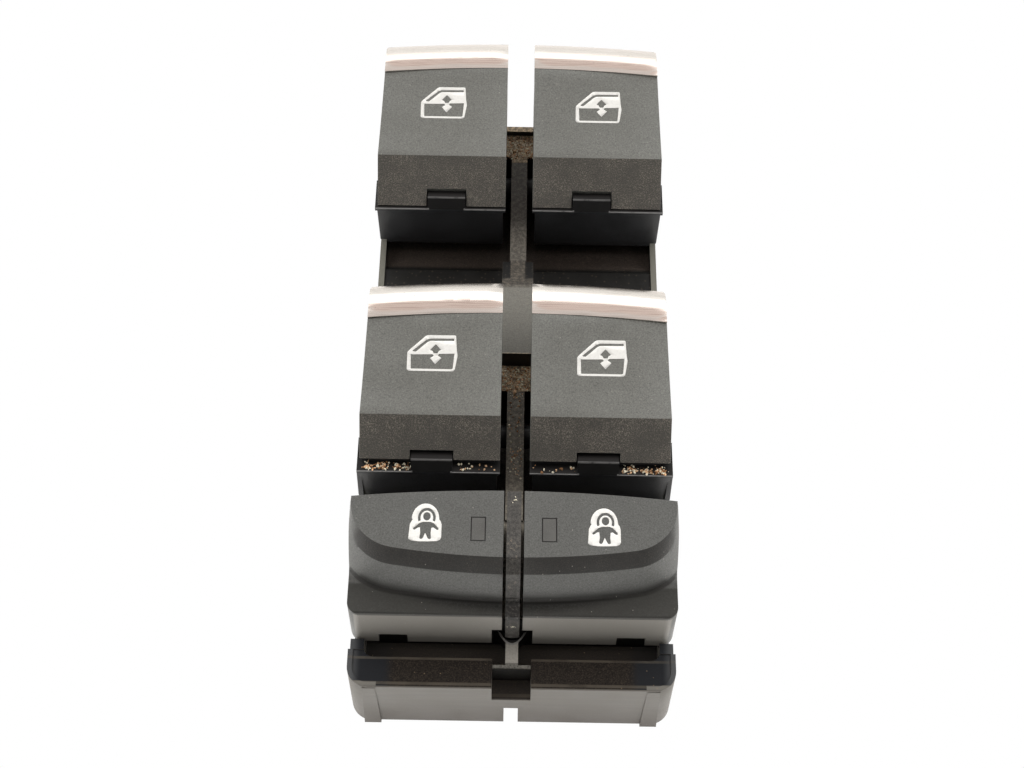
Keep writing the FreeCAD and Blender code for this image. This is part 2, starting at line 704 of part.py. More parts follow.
def ear(name, side, depth):
    low = rim_top - d.over
    corners = [
        (depth - d.ear_round, low),
        (depth + d.ear_round, low),
        (depth + d.ear_round, pivot_height),
        (depth, pivot_height + d.ear_round, d.ear_round),
        (depth - d.ear_round, pivot_height, d.ear_round),
    ]
    return prism(name, "YZ", mirrored(side, d.body_half - d.frame_wall, d.body_half), corners)


def frame_web():
    half = (-d.web_half, d.web_half)
    wide = (-d.bridge_half, d.bridge_half)
    wall_inner = frame_far - d.end_wall
    foot = trough_low - d.deck_thick / 2
    deck_mid = deck_top - d.deck_thick / 2
    near_end = d.pivot_depth + d.trough_half
    far_start = far_pivot - d.trough_half
    bridge_near = d.pivot_depth + d.bridge_start
    bridge_far = far_pivot - d.bridge_stop
    bridge_top = web_top + d.bridge_rise
    bridge = prism("bridge", "YZ", wide, [
        (bridge_near, deck_mid), (bridge_far, deck_mid), (bridge_far, web_top),
        (bridge_far - d.bridge_slope, bridge_top), (bridge_near, bridge_top)])
    return [
        box("web_near", half, (lock_back - d.bite, near_end), (foot, web_top)),
        box("web_middle", half, (near_end, far_start), (deck_mid, web_top)),
        box("web_far", half, (far_start, wall_inner), (foot, web_top)),
        box("pad_near", wide, (bridge_near - d.pad_length, bridge_near), (foot, web_top)),
        box("pad_root", wide, (bridge_near, near_end), (foot, web_top)),
        box("pad_far", wide, (wall_inner - d.pad_length, wall_inner), (foot, web_top)),
        box("far_post", wide, (wall_inner, frame_far), (foot, web_top + d.far_rise)),
        bridge,
    ]


def board_posts():
    """Name, place and top of the posts that carry the board, in three rows of two."""
    behind_header = header_centre + d.header_depth / 2 + d.header_flange + d.post_gap + d.post_radius
    rows = ((d.post_first, lock_top - d.lock_wall), (behind_header, deck_top - d.deck_thick / 2),
            (frame_far - d.post_last, trough_low - d.deck_thick / 2))
    for row, (depth, top) in enumerate(rows):
        for name, side in SIDES:
            yield f"{name}_{row}", side * (d.body_half - d.post_inset), depth, top


def key_frame():
    lock_half = d.body_half - d.lock_step
    lock_inner_half = lock_half - d.lock_wall
    lock_ceiling = lock_top - d.lock_wall
    solids = [
        frame_floor(),
        box("lock_skirt", (-d.body_half, d.body_half), (frame_near, lock_back),
            (d.part_line, d.post_foot)),
        box("lock_block", (-lock_half, lock_half), (frame_near, lock_back),
            (d.part_line, lock_top)),
    ]
    solids += frame_web()
    for name, side in SIDES:
        wall = mirrored(side, d.body_half - d.frame_wall, d.body_half)
        solids.append(box(f"wall_{name}", wall, (lock_back - d.lock_wall, frame_far),
                          (d.part_line, rim_top)))
        for row, count in ROWS:
            solids.append(ear(f"ear_{row}_{name}", side, d.pivot_depth + count * d.row_pitch))
        tongue = mirrored(side, clip_near + d.tongue_gap, clip_far - d.tongue_gap)
        solids.append(box(f"tongue_{name}", tongue, (frame_near - d.tongue_proud, frame_near + d.bite),
                          (d.recess_floor + d.tongue_gap, clip_top + d.bite)))
    for name, x, depth, top in board_posts():
        solids.append(rod(f"post_{name}", "Z", (x, depth), (board_top, top), d.post_radius))
    hollow = box("lock_hollow", (-lock_inner_half, lock_inner_half),
                 (frame_near + d.end_wall, lock_back - d.lock_wall), (d.part_line - d.over, lock_ceiling))
    shell = less("frame_shell", fused("frame_walls", *solids[:3]), hollow)
    body = fused("frame_body", shell, *solids[3:])
    cuts = []
    for row, count in ROWS:
        depth = d.pivot_depth + count * d.row_pitch
        cuts.append(rod(f"trunnion_hole_{row}", "X", (depth, pivot_height),
                        (-d.body_half - d.over, d.body_half + d.over), d.trunnion_radius + d.trunnion_play))
        for name, side in SIDES:
            middle = side * lever_centre
            half = d.lever_width / 2 + d.lever_play
            cuts.append(box(f"lever_slot_{row}_{name}", (middle - half, middle + half),
                            (depth - d.lever_swing, depth + d.lever_swing),
                            (trough_low - d.deck_thick - d.over, deck_top)))
    through = (lock_ceiling - d.over, lock_top + d.over)
    for name, side in SIDES:
        half = d.leg_side / 2 + d.leg_play
        for leg, distance in (("inner", leg_inner), ("outer", leg_outer)):
            middle = side * distance
            cuts.append(box(f"{leg}_guide_{name}", (middle - half, middle + half),
                            (d.leg_depth - half, d.leg_depth + half), through))
        half = d.guide_side / 2 + d.guide_play
        middle = side * d.lens_centre
        cuts.append(box(f"light_hole_{name}", (middle - half, middle + half),
                        (d.lens_depth - half, d.lens_depth + half), through))
    for name, x, depth, top in board_posts():
        reach = top if name.endswith("2") else board_top + d.screw_deep
        cuts.append(rod(f"bore_{name}", "Z", (x, depth), (board_top, reach),
                        d.screw_radius + d.screw_play))
    finish("key_frame", less("frame", body, *cuts))


# Rocker shells: one under each window key, with trunnions, lever, spring ribs and key boss

def key_top(depth):
    """Straight line from the crease to the trim's edge, at a distance from the front wall."""
    slope = (border_height - crease_height) / (border_depth - crease_depth)
    return crease_height + (depth - crease_depth) * slope


def shell_section(low, top):
    """Section of the shell: drafted ends and rounded foot."""
    foot_near, foot_far = shell_near + d.shell_draft, shell_far - d.shell_draft
    r = d.shell_round
    return [(foot_near + r, low, r), (foot_far - r, low), (foot_far, low + r, r),
            (shell_far, top), (shell_near, top), (foot_near, low + r)]


def wing(tag, side, top):
    """Widened near end of the shell, which passes over the frame's side wall."""
    low = pivot_height - d.wing_drop
    far = d.pivot_depth - d.ear_round - d.wing_gap
    near = shell_near + d.shell_draft * (top - low) / (top - shell_low - d.shell_round)
    return prism(f"wing_{tag}", "YZ", mirrored(side, shell_outer - d.bite, d.body_half), [
        (near, low), (far, low), (far, top), (shell_near, top)])


def rocker_body(row, tag, side):
    """Hollow shell with the flange and seat under the key cap, and the boss inside the cap."""
    wall, top = d.shell_wall, flange_low + d.bite
    inner, outer, r = side * d.shell_inner, side * shell_outer, d.shell_round
    ends = prism(f"shell_ends_{tag}", "YZ", mirrored(side, d.shell_inner, shell_outer),
                 shell_section(shell_low, top))
    sides = prism(f"shell_sides_{tag}", "XZ", (shell_near - d.over, shell_far + d.over), [
        (inner, top), (inner, shell_low), (outer - side * r, shell_low),
        (outer, shell_low + r, side * r), (outer, top)])
    hollow_top = flange_top - d.shell_roof
    hollow = prism(f"shell_hollow_{tag}", "YZ", mirrored(side, d.shell_inner + wall, shell_outer - wall), [
        (shell_near + d.shell_draft + wall, shell_low - d.over),
        (shell_far - d.shell_draft - wall, shell_low - d.over),
        (shell_far - wall, hollow_top), (shell_near + wall, hollow_top)])
    flange = box(f"flange_{tag}", mirrored(side, d.key_inner, shell_outer),
                 (shell_near, d.pivot_depth + d.flange_back), (flange_low, flange_top))
    lip = box(f"flange_lip_{tag}", mirrored(side, shell_outer - d.bite, d.body_half + d.flange_proud),
              (shell_near, d.pivot_depth - d.ear_round - d.wing_gap), (flange_low, flange_top))
    seat = box(f"seat_{tag}", mirrored(side, d.key_inner + d.key_wall / 2, shell_outer - d.platform_inset),
               (key_near[row] + d.platform_inset, key_back - d.platform_inset), (flange_low, key_low[row]))
    gap = d.key_wall + d.boss_play
    boss_near, boss_far = crease_depth + d.boss_start, key_back - gap
    drop = gap + d.boss_play
    boss_x = mirrored(side, d.key_inner + gap, lip_outer - gap)
    boss = prism(f"boss_{tag}", "YZ", boss_x, [
        (boss_near, flange_low), (boss_far, flange_low),
        (boss_far, key_top(boss_far) - drop), (boss_near, key_top(boss_near) - drop)])
    hollow_x = mirrored(side, d.key_inner + gap + wall, lip_outer - gap - wall)
    boss_hollow = box(f"boss_hollow_{tag}", hollow_x, (boss_near + wall, boss_far - wall),
                      (hollow_top - d.over, boss_ceiling))
    shell = common(f"shell_{tag}", ends, sides)
    solid = fused(f"shell_top_{tag}", shell, wing(tag, side, top), flange, lip, seat, boss)
    return less(f"shell_body_{tag}", solid, hollow, boss_hollow)


def rocker_shell(row, count, name, side):
    tag = f"{row}_{name}"
    roof = boss_ceiling + d.bite
    middle = tab_centre[row]
    tab_near, tab_far = shell_near + d.tab_lean, key_near[row] + d.notch_reach - d.boss_play
    tab = prism(f"tab_{tag}", "YZ", mirrored(side, middle - d.tab_half, middle + d.tab_half), [
        (shell_near, flange_low), (tab_far, flange_low), (tab_far, tab_top), (tab_near, tab_top),
        (shell_near, flange_top)])
    half = d.lever_thick / 2
    y, low = d.pivot_depth, board_top + d.lever_clear
    lever_x = mirrored(side, lever_centre - d.lever_width / 2, lever_centre + d.lever_width / 2)
    lever = prism(f"lever_{tag}", "YZ", lever_x, [
        (y - half, roof), (y - half, low + half), (y, low, half), (y + half, low + half, half),
        (y + half, roof)])
    solids = [rocker_body(row, tag, side), tab, lever]
    axis = (y, pivot_height)
    solids.append(rod(f"trunnion_outer_{tag}", "X", axis,
                      mirrored(side, shell_outer - d.shell_wall, d.body_half - d.trunnion_short),
                      d.trunnion_radius))
    solids.append(rod(f"trunnion_inner_{tag}", "X", axis,
                      mirrored(side, d.trunnion_gap, d.shell_inner + d.shell_wall), d.trunnion_radius))
    rib = mirrored(side, rib_centre - d.leaf_width / 2, rib_centre + d.leaf_width / 2)
    thick = d.rib_thick / 2
    for end, depth, top in (("near", y - d.rib_reach, flange_low), ("far", y + d.rib_reach, roof)):
        solids.append(box(f"rib_{end}_{tag}", rib, (depth - thick, depth + thick), (rib_low, top)))
    finish(f"{tag}_rocker", fused(f"rocker_{tag}", *solids), count)


# Window key caps and their bright trims

def key_plan(side):
    """Plan outline of a key: barrel-shaped outer side and a rounded corner at the lip."""
    inner, outer, tip = side * d.key_inner, side * key_outer, side * lip_outer
    arch = d.lip_arch
    corner_x = lip_outer - d.lip_corner
    corner_y = lip_depth - arch + root(arch * arch - corner_x * corner_x)
    turn = side * d.lip_corner
    corners = [
        (inner, shell_near - d.over), (outer, shell_near - d.over), (outer, crease_depth),
        (tip, border_depth), (tip, corner_y - d.lip_corner), (side * corner_x, corner_y, turn),
        (side * corner_x, lip_depth + d.over), (inner, lip_depth + d.over)]
    return corners


def arched(name, corners):
    """Section turned about the upright axis that gives the lip its arch in plan."""
    item = doc.addObject("Part::Revolution", name)
    item.Source = outline(name + "_section", "YZ", 0, corners)
    item.Axis = FreeCAD.Vector(0, 0, 1)
    item.setExpression("Base.y", (lip_depth - d.lip_arch).text)
    item.Angle = 20
    item.Symmetric = True
    item.Solid = True
    return item


def window_key(row, count, name, side):
    tag = f"{row}_{name}"
    near, low, wall = key_near[row], key_low[row], d.key_wall
    under = lip_under - d.over
    front = prism(f"key_{tag}", "YZ", mirrored(side, d.key_inner - d.over, key_outer + d.over), [
        (near, low), (key_back, low), (key_back, under), (border_depth, under),
        (border_depth, border_height), (crease_depth, crease_height, -d.scoop_radius)])
    drum = doc.addObject("Part::Cylinder", f"border_drum_{tag}")
    bind(drum, Radius=d.lip_arch - lip_depth + border_depth, Height=crest_height + d.over)
    place(drum, 0, lip_depth - d.lip_arch, 0)
    seat = d.trim_thick + d.trim_play
    root_depth = key_back - d.tongue_root
    tip = lip_depth - seat - d.trim_play
    tongue = arched(f"tongue_{tag}", [
        (root_depth, lip_under - d.tongue_sag), (tip - d.trim_thick, lip_under - d.bite),
        (tip, lip_under + d.tongue_bevel), (tip, lip_height - d.trim_nose - d.trim_play),
        (crest_depth, crest_height - seat), (border_depth, border_height - seat),
        (root_depth, border_height - seat - d.tongue_dip)])
    inside_near, inside_far = near + d.key_front_wall, key_back - wall
    hollow = prism(f"key_hollow_{tag}", "YZ", mirrored(side, d.key_inner + wall, lip_outer - wall), [
        (inside_near, low - d.over), (inside_far, low - d.over), (inside_far, key_top(inside_far) - wall),
        (crease_depth + wall / 2, crease_height - wall), (inside_near, low)])
    half = d.tab_half + d.notch_play
    notch = box(f"notch_{tag}", mirrored(side, tab_centre[row] - half, tab_centre[row] + half),
                (shell_near - d.over, near + d.notch_reach), (low - d.over, tab_top + d.notch_gap))
    solid = fused(f"key_solid_{tag}", common(f"key_front_{tag}", front, drum), tongue)
    plan = prism(f"key_plan_{tag}", "XY", (0, crest_height + d.over), key_plan(side))
    shaped = common(f"key_shape_{tag}", solid, plan)
    finish(f"{tag}_key", less(f"cap_{tag}", shaped, hollow, notch), count)


def trim(row, count, name, side):
    tag = f"{row}_{name}"
    thick, r = d.trim_thick, d.lip_round
    band = arched(f"trim_{tag}", [
        (border_depth + d.trim_play, border_height),
        (border_depth + d.trim_play, border_height - thick),
        (crest_depth, crest_height - thick),
        (lip_depth - thick, lip_height - d.trim_nose),
        (lip_depth - thick, lip_height - 2 * r),
        (lip_depth - r, lip_height - 2 * r),
        (lip_depth, lip_height - r, r),
        (lip_depth - d.shoulder_run, lip_height + d.shoulder_rise, d.shoulder_round),
        (crest_depth, crest_height, d.crown_round)])
    plan = prism(f"trim_plan_{tag}", "XY", (0, crest_height + d.over), key_plan(side))
    finish(f"{tag}_trim", common(f"trim_shape_{tag}", band, plan), count)


# Child lock keys: skirt, plate, raised pad with chamfer and flare, and guide legs

def pad_outline(grow, height, setback=0.0, lean=0.0):
    """Plan outline of the raised pad at one height: grown outwards, set back, sides leaning in."""
    side = lock_outer.value - lean
    corner = d.dome_corner_radius.value
    front = d.dome_front_radius.value
    centre_x = side - corner
    front_centre = dome_near.value + setback + front
    centre_y = front_centre - math.sqrt((front - corner) ** 2 - centre_x ** 2)
    turn = math.atan2(centre_x, front_centre - centre_y)
    arch = d.lip_arch.value
    edge = side + grow
    far_y = d.lock_far.value - arch + math.sqrt(arch ** 2 - edge ** 2)

    def at(radius, angle, x, y):
        return FreeCAD.Vector(x + radius * math.sin(angle), y - radius * math.cos(angle), height)

    tangent = at(front + grow, turn, 0, front_centre)
    mid_corner = at(corner + grow, (turn + math.pi / 2) / 2, centre_x, centre_y)
    right = [FreeCAD.Vector(edge, far_y, height), FreeCAD.Vector(edge, centre_y, height), mid_corner,
             tangent]
    left = [FreeCAD.Vector(-p.x, p.y, p.z) for p in right]
    edges = [
        Part.makeLine(left[0], left[1]),
        Part.Arc(left[1], left[2], left[3]).toShape(),
        Part.Arc(left[3], at(front + grow, 0, 0, front_centre), right[3]).toShape(),
        Part.Arc(right[3], right[2], right[1]).toShape(),
        Part.makeLine(right[1], right[0]),
        Part.Arc(right[0], FreeCAD.Vector(0, d.lock_far.value, height), left[0]).toShape(),
    ]
    return Part.Wire(edges)


def raised_pad():
    """The D-shaped pad of both child lock keys as one solid."""
    foot = plate_top.value
    draft, reach, flare = d.dome_draft.value, d.flare_reach.value, d.flare_height.value
    chamfer = d.dome_chamfer.value
    wires = [pad_outline(draft + reach, foot - d.plate_round.value)]
    steps = 4
    for step in range(steps + 1):
        angle = step / steps * math.pi / 2
        wires.append(pad_outline(draft + reach * (1 - math.sin(angle)),
                                 foot + flare * (1 - math.cos(angle))))
    wires.append(pad_outline(0.0, dome_top.value - chamfer))
    wires.append(pad_outline(0.0, dome_top.value, chamfer, d.dome_side_lean.value))
    item = doc.addObject("Part::Feature", "raised_pad")
    item.Shape = Part.makeLoft(wires, True, True)
    return item


def child_lock_key(name, side, pad):
    inner, outer = d.lock_inner, lock_outer
    near, far = d.lock_near, d.lock_far
    r = d.skirt_round
    turn = side * r
    arch_x = outer
    far_side = far - d.lip_arch + root(d.lip_arch * d.lip_arch - arch_x * arch_x)
    plan = prism(f"lock_plan_{name}", "XY", (skirt_bottom - d.over, dome_top + d.over), [
        (side * inner, near), (side * (outer - r), near), (side * outer, near + r, turn),
        (side * outer, far_side), (side * inner, far, side * d.lip_arch)])
    low, corner, high = skirt_bottom, d.skirt_corner, dome_top + d.over
    front = prism(f"lock_front_{name}", "XZ", (near - d.over, far + d.over), [
        (side * inner, high), (side * inner, low + d.chin_notch_tall),
        (side * d.chin_notch, low + d.chin_notch_tall), (side * d.chin_notch, low),
        (side * clip_near, low), (side * clip_near, clip_top),
        (side * clip_far, clip_top), (side * clip_far, low),
        (side * (outer - corner), low), (side * outer, low + corner, side * corner),
        (side * outer, high)])
    thick = d.plate_thick
    cap = prism(f"lock_cap_{name}", "YZ", mirrored(side, inner - d.over, outer + d.over), [
        (near, low), (far + d.over, low), (far + d.over, plate_top),
        (near + d.plate_round, plate_top), (near, plate_top - d.plate_round, d.plate_round)])
    solid = common(f"lock_solid_{name}", fused(f"lock_cap_pad_{name}", cap, pad), plan, front)
    wall, inside_far = d.skirt_thick, far - d.back_thick
    inside = box(f"lock_inside_{name}", mirrored(side, -d.over, outer - wall), (near + wall, inside_far),
                 (low - d.over, plate_top - thick))
    open_back = box(f"lock_open_{name}", mirrored(side, -d.over, outer + d.over),
                    (far - d.side_short, far + d.over), (low - d.over, plate_top - d.back_tall))
    dome = box(f"lock_dome_{name}", mirrored(side, inner + wall, outer - d.dome_corner_radius),
               (dome_near + d.dome_front_wall, inside_far), (plate_top - 2 * thick, dome_hollow))
    middle = side * d.lens_centre
    half_wide = d.lens_wide / 2 + d.lens_play
    half_long = d.lens_long / 2 + d.lens_play
    window = box(f"lock_window_{name}", (middle - half_wide, middle + half_wide),
                 (d.lens_depth - half_long, d.lens_depth + half_long),
                 (dome_hollow - d.over, dome_top + d.over))
    shell = less(f"lock_shell_{name}", solid, inside, open_back, dome, window)
    half = d.leg_side / 2
    legs = []
    for leg, distance, foot, head in (
            ("inner", leg_inner, switch_well + d.lock_travel + d.leg_clear, dome_hollow + d.bite),
            ("outer", leg_outer, lock_top - d.leg_deep, plate_top - thick / 2)):
        centre = side * distance
        legs.append(box(f"{leg}_leg_{name}", (centre - half, centre + half),
                        (d.leg_depth - half, d.leg_depth + half), (foot, head)))
    finish(f"child_lock_{name}_key", fused(f"lock_key_{name}", shell, *legs))


def indicator_lens(name, side):
    middle = side * d.lens_centre
    wide, long, rim = d.lens_wide / 2, d.lens_long / 2, d.lens_rim
    body = box(f"lens_body_{name}", (middle - wide, middle + wide),
               (d.lens_depth - long, d.lens_depth + long), (dome_hollow - rim, dome_top))
    flange = box(f"lens_flange_{name}", (middle - wide - rim, middle + wide + rim),
                 (d.lens_depth - long - rim, d.lens_depth + long + rim), (dome_hollow - rim, dome_hollow))
    finish(f"indicator_{name}_lens", fused(f"lens_{name}", body, flange))


# Centre strip between the child lock keys, and the catch under its chin

def centre_strip():
    near, thick, far = d.strip_near, d.strip_thick, d.lock_far - d.strip_short
    half, low, high = d.strip_half, skirt_bottom + d.strip_rise, dome_top + d.over
    foot = plate_top
    section = prism("strip_section", "YZ", (-half, half), [
        (near, low), (near + thick, low), (near + thick, lock_top),
        (far, lock_top), (far, dome_top),
        (dome_near + d.dome_chamfer, dome_top), (dome_near, dome_top - d.dome_chamfer),
        (dome_near - d.dome_draft, foot + d.flare_height),
        (dome_near - d.dome_draft - d.flare_reach, foot, -d.flare_height),
        (near + d.plate_round, foot), (near, foot - d.plate_round, d.plate_round)])
    chin = prism("strip_chin_outline", "XZ", (near - d.over, far + d.over), [
        (-half, low + half), (0, low, half), (half, low + half, half), (half, high), (-half, high)])
    finish("centre_strip", common("strip", section, chin))


def front_catch():
    half = d.pocket_half - d.catch_play
    stem, r = d.catch_stem_half, d.catch_flare
    bar_near, bar_far = d.catch_bar_near, d.catch_bar_near + d.catch_bar_thick
    top = d.bumper_top - d.catch_drop
    end = frame_near - d.seat
    stem_end = end - r
    flare = stem + r
    plate = prism("catch_plate", "XY", (d.recess_floor, top), [
        (-stem, bar_far - d.bite), (stem, bar_far - d.bite), (stem, stem_end),
        (flare, end, -r), (-flare, end), (-stem, stem_end, -r)])
    bar = box("catch_bar", (-half, half), (bar_near, bar_far), (d.pocket_floor, top))
    finish("front_catch", fused("catch", plate, bar))


# Board, connector, contact sliders, push switches, lamps and light guides

def circuit_board():
    board = Body("board")
    half = d.body_half - d.side_wall - d.board_gap
    near = frame_near + d.end_wall + d.board_end_gap
    board.pad("laminate", (board_low, board_top),
              rectangle((-half, half), (near, frame_far - d.board_short)))
    reach = d.header_half + d.header_play
    depth = d.header_depth / 2 + d.header_play
    board.pocket("connector_cutout", (board_low, board_top),
                 rectangle((-reach, reach), (header_centre - depth, header_centre + depth)))
    for name, x, depth, top in board_posts():
        sketch = board.body.newObject("Sketcher::SketchObject", f"hole_{name}_sketch")
        sketch.AttachmentSupport = [(board.plane, "")]
        sketch.MapMode = "FlatFace"
        sketch.setExpression("AttachmentOffset.Base.z", board_top.text)
        centre = FreeCAD.Vector(x.value, depth.value, 0)
        radius = d.screw_radius + d.hole_play
        sketch.addGeometry(Part.Circle(centre, FreeCAD.Vector(0, 0, 1), radius.value), False)
        for rule, size in ((Sketcher.Constraint("Radius", 0, radius.value), radius),
                           (Sketcher.Constraint("DistanceX", -1, 1, 0, 3, x.value), x),
                           (Sketcher.Constraint("DistanceY", -1, 1, 0, 3, depth.value), depth)):
            index = sketch.addConstraint(rule)
            sketch.setExpression(f"Constraints[{index}]", size.text)
        hole = board.body.newObject("PartDesign::Pocket", f"hole_{name}")
        hole.Profile = sketch
        bind(hole, Length=d.board_thick)
        doc.recompute()
    finish("circuit_board", board.body)


def board_screws():
    screws = []
    for name, x, depth, top in board_posts():
        deep = (top if name.endswith("2") else board_top + d.screw_deep) - d.screw_short
        shank = rod(f"shank_{name}", "Z", (x, depth), (board_low, deep), d.screw_radius)
        head = rod(f"head_{name}", "Z", (x, depth), (board_low - d.screw_head_tall, board_low), d.screw_head)
        screws.append(fused(f"screw_{name}", shank, head))
    finish("board_screws", group("screws", screws))


def pin_section(sign):
    """Section of one bent pin: down into the shell on one side, onto the board on the other."""
    half = d.pin_side / 2
    inner = header_centre + sign * (d.pin_row - half)
    inner_far = header_centre + sign * (d.pin_row + half)
    outer = header_centre + sign * (d.pin_land + half)
    outer_near = header_centre + sign * (d.pin_land - half)
    bend = header_top + d.pin_rise
    return [(inner, d.pin_low), (inner_far, d.pin_low), (inner_far, bend), (outer_near, bend),
            (outer_near, board_top), (outer, board_top), (outer, bend + d.pin_side),
            (inner, bend + d.pin_side)]


def connector():
    count = int(round(d.pin_count.value))
    half = d.pin_side / 2
    pins = []
    for sign in (-1, 1):
        for number in range(count):
            x = (number - (count - 1) / 2) * d.pin_pitch
            pins.append(prism(f"pin_{'near' if sign < 0 else 'far'}_{number}", "YZ",
                              (x - half, x + half), pin_section(sign)))
    bundle = group("pins", pins)
    reach, depth = d.header_half, d.header_depth / 2
    middle, wall = header_centre, d.header_wall
    shell = box("header_block", (-reach, reach), (middle - depth, middle + depth),
                (d.header_low, header_top))
    flange = box("header_flange_plate", (-reach - d.header_flange, reach + d.header_flange),
                 (middle - depth - d.header_flange, middle + depth + d.header_flange),
                 (board_top, board_top + d.header_flange_thick))
    mouth = box("header_mouth", (wall - reach, reach - wall), (middle - depth + wall, middle + depth - wall),
                (d.header_low - d.over, header_top - d.header_end))
    code_slot = box("header_code_slot", (-d.code_half, d.code_half),
                    (middle + depth - wall - d.over, middle + depth + d.over),
                    (d.header_low - d.over, d.code_top))
    shell = less("header_shell", fused("header_body", shell, flange), mouth, code_slot, bundle)
    finish("connector_shell", shell)
    own_pins = group("pin_set", pins)
    finish("connector_pins", own_pins)


def contact_slider(row, count, name, side):
    tag = f"{row}_{name}"
    middle = side * lever_centre
    wide, long = d.slider_wide / 2, d.slider_long / 2
    low = board_top + d.slider_lift
    block = box(f"slider_block_{tag}", (middle - wide, middle + wide),
                (d.pivot_depth - long, d.pivot_depth + long), (low, low + d.slider_tall))
    half_x = d.lever_width / 2 + d.slider_play
    half_y = d.lever_thick / 2 + d.slider_play
    notch = box(f"slider_notch_{tag}", (middle - half_x, middle + half_x),
                (d.pivot_depth - half_y, d.pivot_depth + half_y),
                (low + d.slider_floor, low + d.slider_tall + d.over))
    finish(f"{tag}_slider", less(f"slider_{tag}", block, notch), count)


def push_switches():
    bodies = []
    for name, side in SIDES:
        middle = side * leg_inner
        half = d.switch_side / 2
        well = d.leg_side / 2 + d.leg_play
        body = box(f"switch_{name}", (middle - half, middle + half),
                   (d.leg_depth - half, d.leg_depth + half), (board_top, switch_top))
        hole = box(f"well_{name}", (middle - well, middle + well), (d.leg_depth - well, d.leg_depth + well),
                   (switch_well, switch_top + d.over))
        bodies.append(less(f"switch_body_{name}", body, hole))
    finish("push_switches", group("switches", bodies))


def lamps_and_guides():
    lamps = []
    for name, side in SIDES:
        middle = side * d.lens_centre
        half = d.led_side / 2
        lamps.append(box(f"lamp_{name}", (middle - half, middle + half),
                         (d.lens_depth - half, d.lens_depth + half),
                         (board_top, board_top + d.led_tall)))
        for row, count in ROWS:
            depth = d.pivot_depth + d.led_offset + count * d.row_pitch
            centre = side * lever_centre
            lamps.append(box(f"lamp_{row}_{name}", (centre - half, centre + half),
                             (depth - half, depth + half), (board_top, board_top + d.led_tall)))
        half = d.guide_side / 2
        stem = box(f"guide_stem_{name}", (middle - half, middle + half),
                   (d.lens_depth - half, d.lens_depth + half),
                   (board_top + d.led_tall + d.guide_lift, lock_top + d.guide_rise))
        rim = half + d.guide_rim
        collar = box(f"guide_collar_{name}", (middle - rim, middle + rim),
                     (d.lens_depth - rim, d.lens_depth + rim), (lock_top, lock_top + d.guide_rim_tall))
        finish(f"light_guide_{name}", fused(f"guide_{name}", stem, collar))
    finish("lamps", group("lamp_set", lamps))


# Leaf springs

def rocker_spring(row, count, name, side):
    """Bowed leaf: its ends lie under the rocker's ribs and its middle bears on the trough."""
    tag = f"{row}_{name}"
    top = rib_low - d.seat
    low = trough_low + d.leaf_lift
    reach = d.rib_reach + d.rib_thick / 2
    rise = top - d.leaf_thick - low
    bow = (reach * reach + rise * rise) / (2 * rise)
    y = d.pivot_depth
    spring = prism(f"leaf_{tag}", "YZ",
                   mirrored(side, rib_centre - d.leaf_width / 2, rib_centre + d.leaf_width / 2), [
        (y - reach, top - d.leaf_thick), (y, low, bow), (y + reach, top - d.leaf_thick, bow),
        (y + reach, top), (y, low + d.leaf_thick, -bow), (y - reach, top, -bow)])
    finish(f"{tag}_spring", spring, count)


def child_lock_spring(name, side):
    low = lock_top + d.seat
    top = plate_top - d.plate_thick - d.seat
    reach = d.lock_leaf_reach
    rise = top - low - d.leaf_thick
    bow = (reach * reach + rise * rise) / (2 * rise)
    middle = (leg_inner + leg_outer) / 2
    y = d.leg_depth
    spring = prism(f"lock_leaf_{name}", "YZ",
                   mirrored(side, middle - d.leaf_width / 2, middle + d.leaf_width / 2), [
        (y - reach, low), (y - reach, low + d.leaf_thick),
        (y, top, -bow), (y + reach, low + d.leaf_thick, -bow),
        (y + reach, low), (y, top - d.leaf_thick, bow)])
    finish(f"child_lock_{name}_spring", spring)


def build():
    base_housing()
    key_frame()
    centre_strip()
    front_catch()
    circuit_board()
    board_screws()
    connector()
    push_switches()
    lamps_and_guides()
    pad = raised_pad()
    for name, side in SIDES:
        child_lock_key(name, side, pad)
        indicator_lens(name, side)
        child_lock_spring(name, side)
    for row, count in ROWS:
        for name, side in SIDES:
            rocker_shell(row, count, name, side)
            window_key(row, count, name, side)
            trim(row, count, name, side)
            contact_slider(row, count, name, side)
            rocker_spring(row, count, name, side)
    doc.recompute()


def check():
    for item in doc.Objects:
        if "Invalid" in item.State or "Error" in item.State:
            raise RuntimeError(f"{item.Name} failed: {item.State}")
    for label, item in nodes.items():
        if item.Shape.isNull() or not item.Shape.isValid():
            raise RuntimeError(f"{label} has no valid shape")


def write():
    os.makedirs("parts", exist_ok=True)
    for label, item in nodes.items():
        item.Shape.exportStep(f"parts/{label}.step")


build()
check()
write()
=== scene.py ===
"""Looks of the power window switch: materials, pictograms, dust, and the photographer's table.

The row frame is in metres: X to the right, Y toward the front window keys, Z up. Places on the
switch are written in millimetres: across from its middle line, ahead of its front wall, and up
from the table.
"""

import math
import random

import bmesh
import bpy
from bpy.props import FloatProperty, FloatVectorProperty, IntProperty, PointerProperty
from mathutils import Euler, Matrix, Vector, geometry, noise


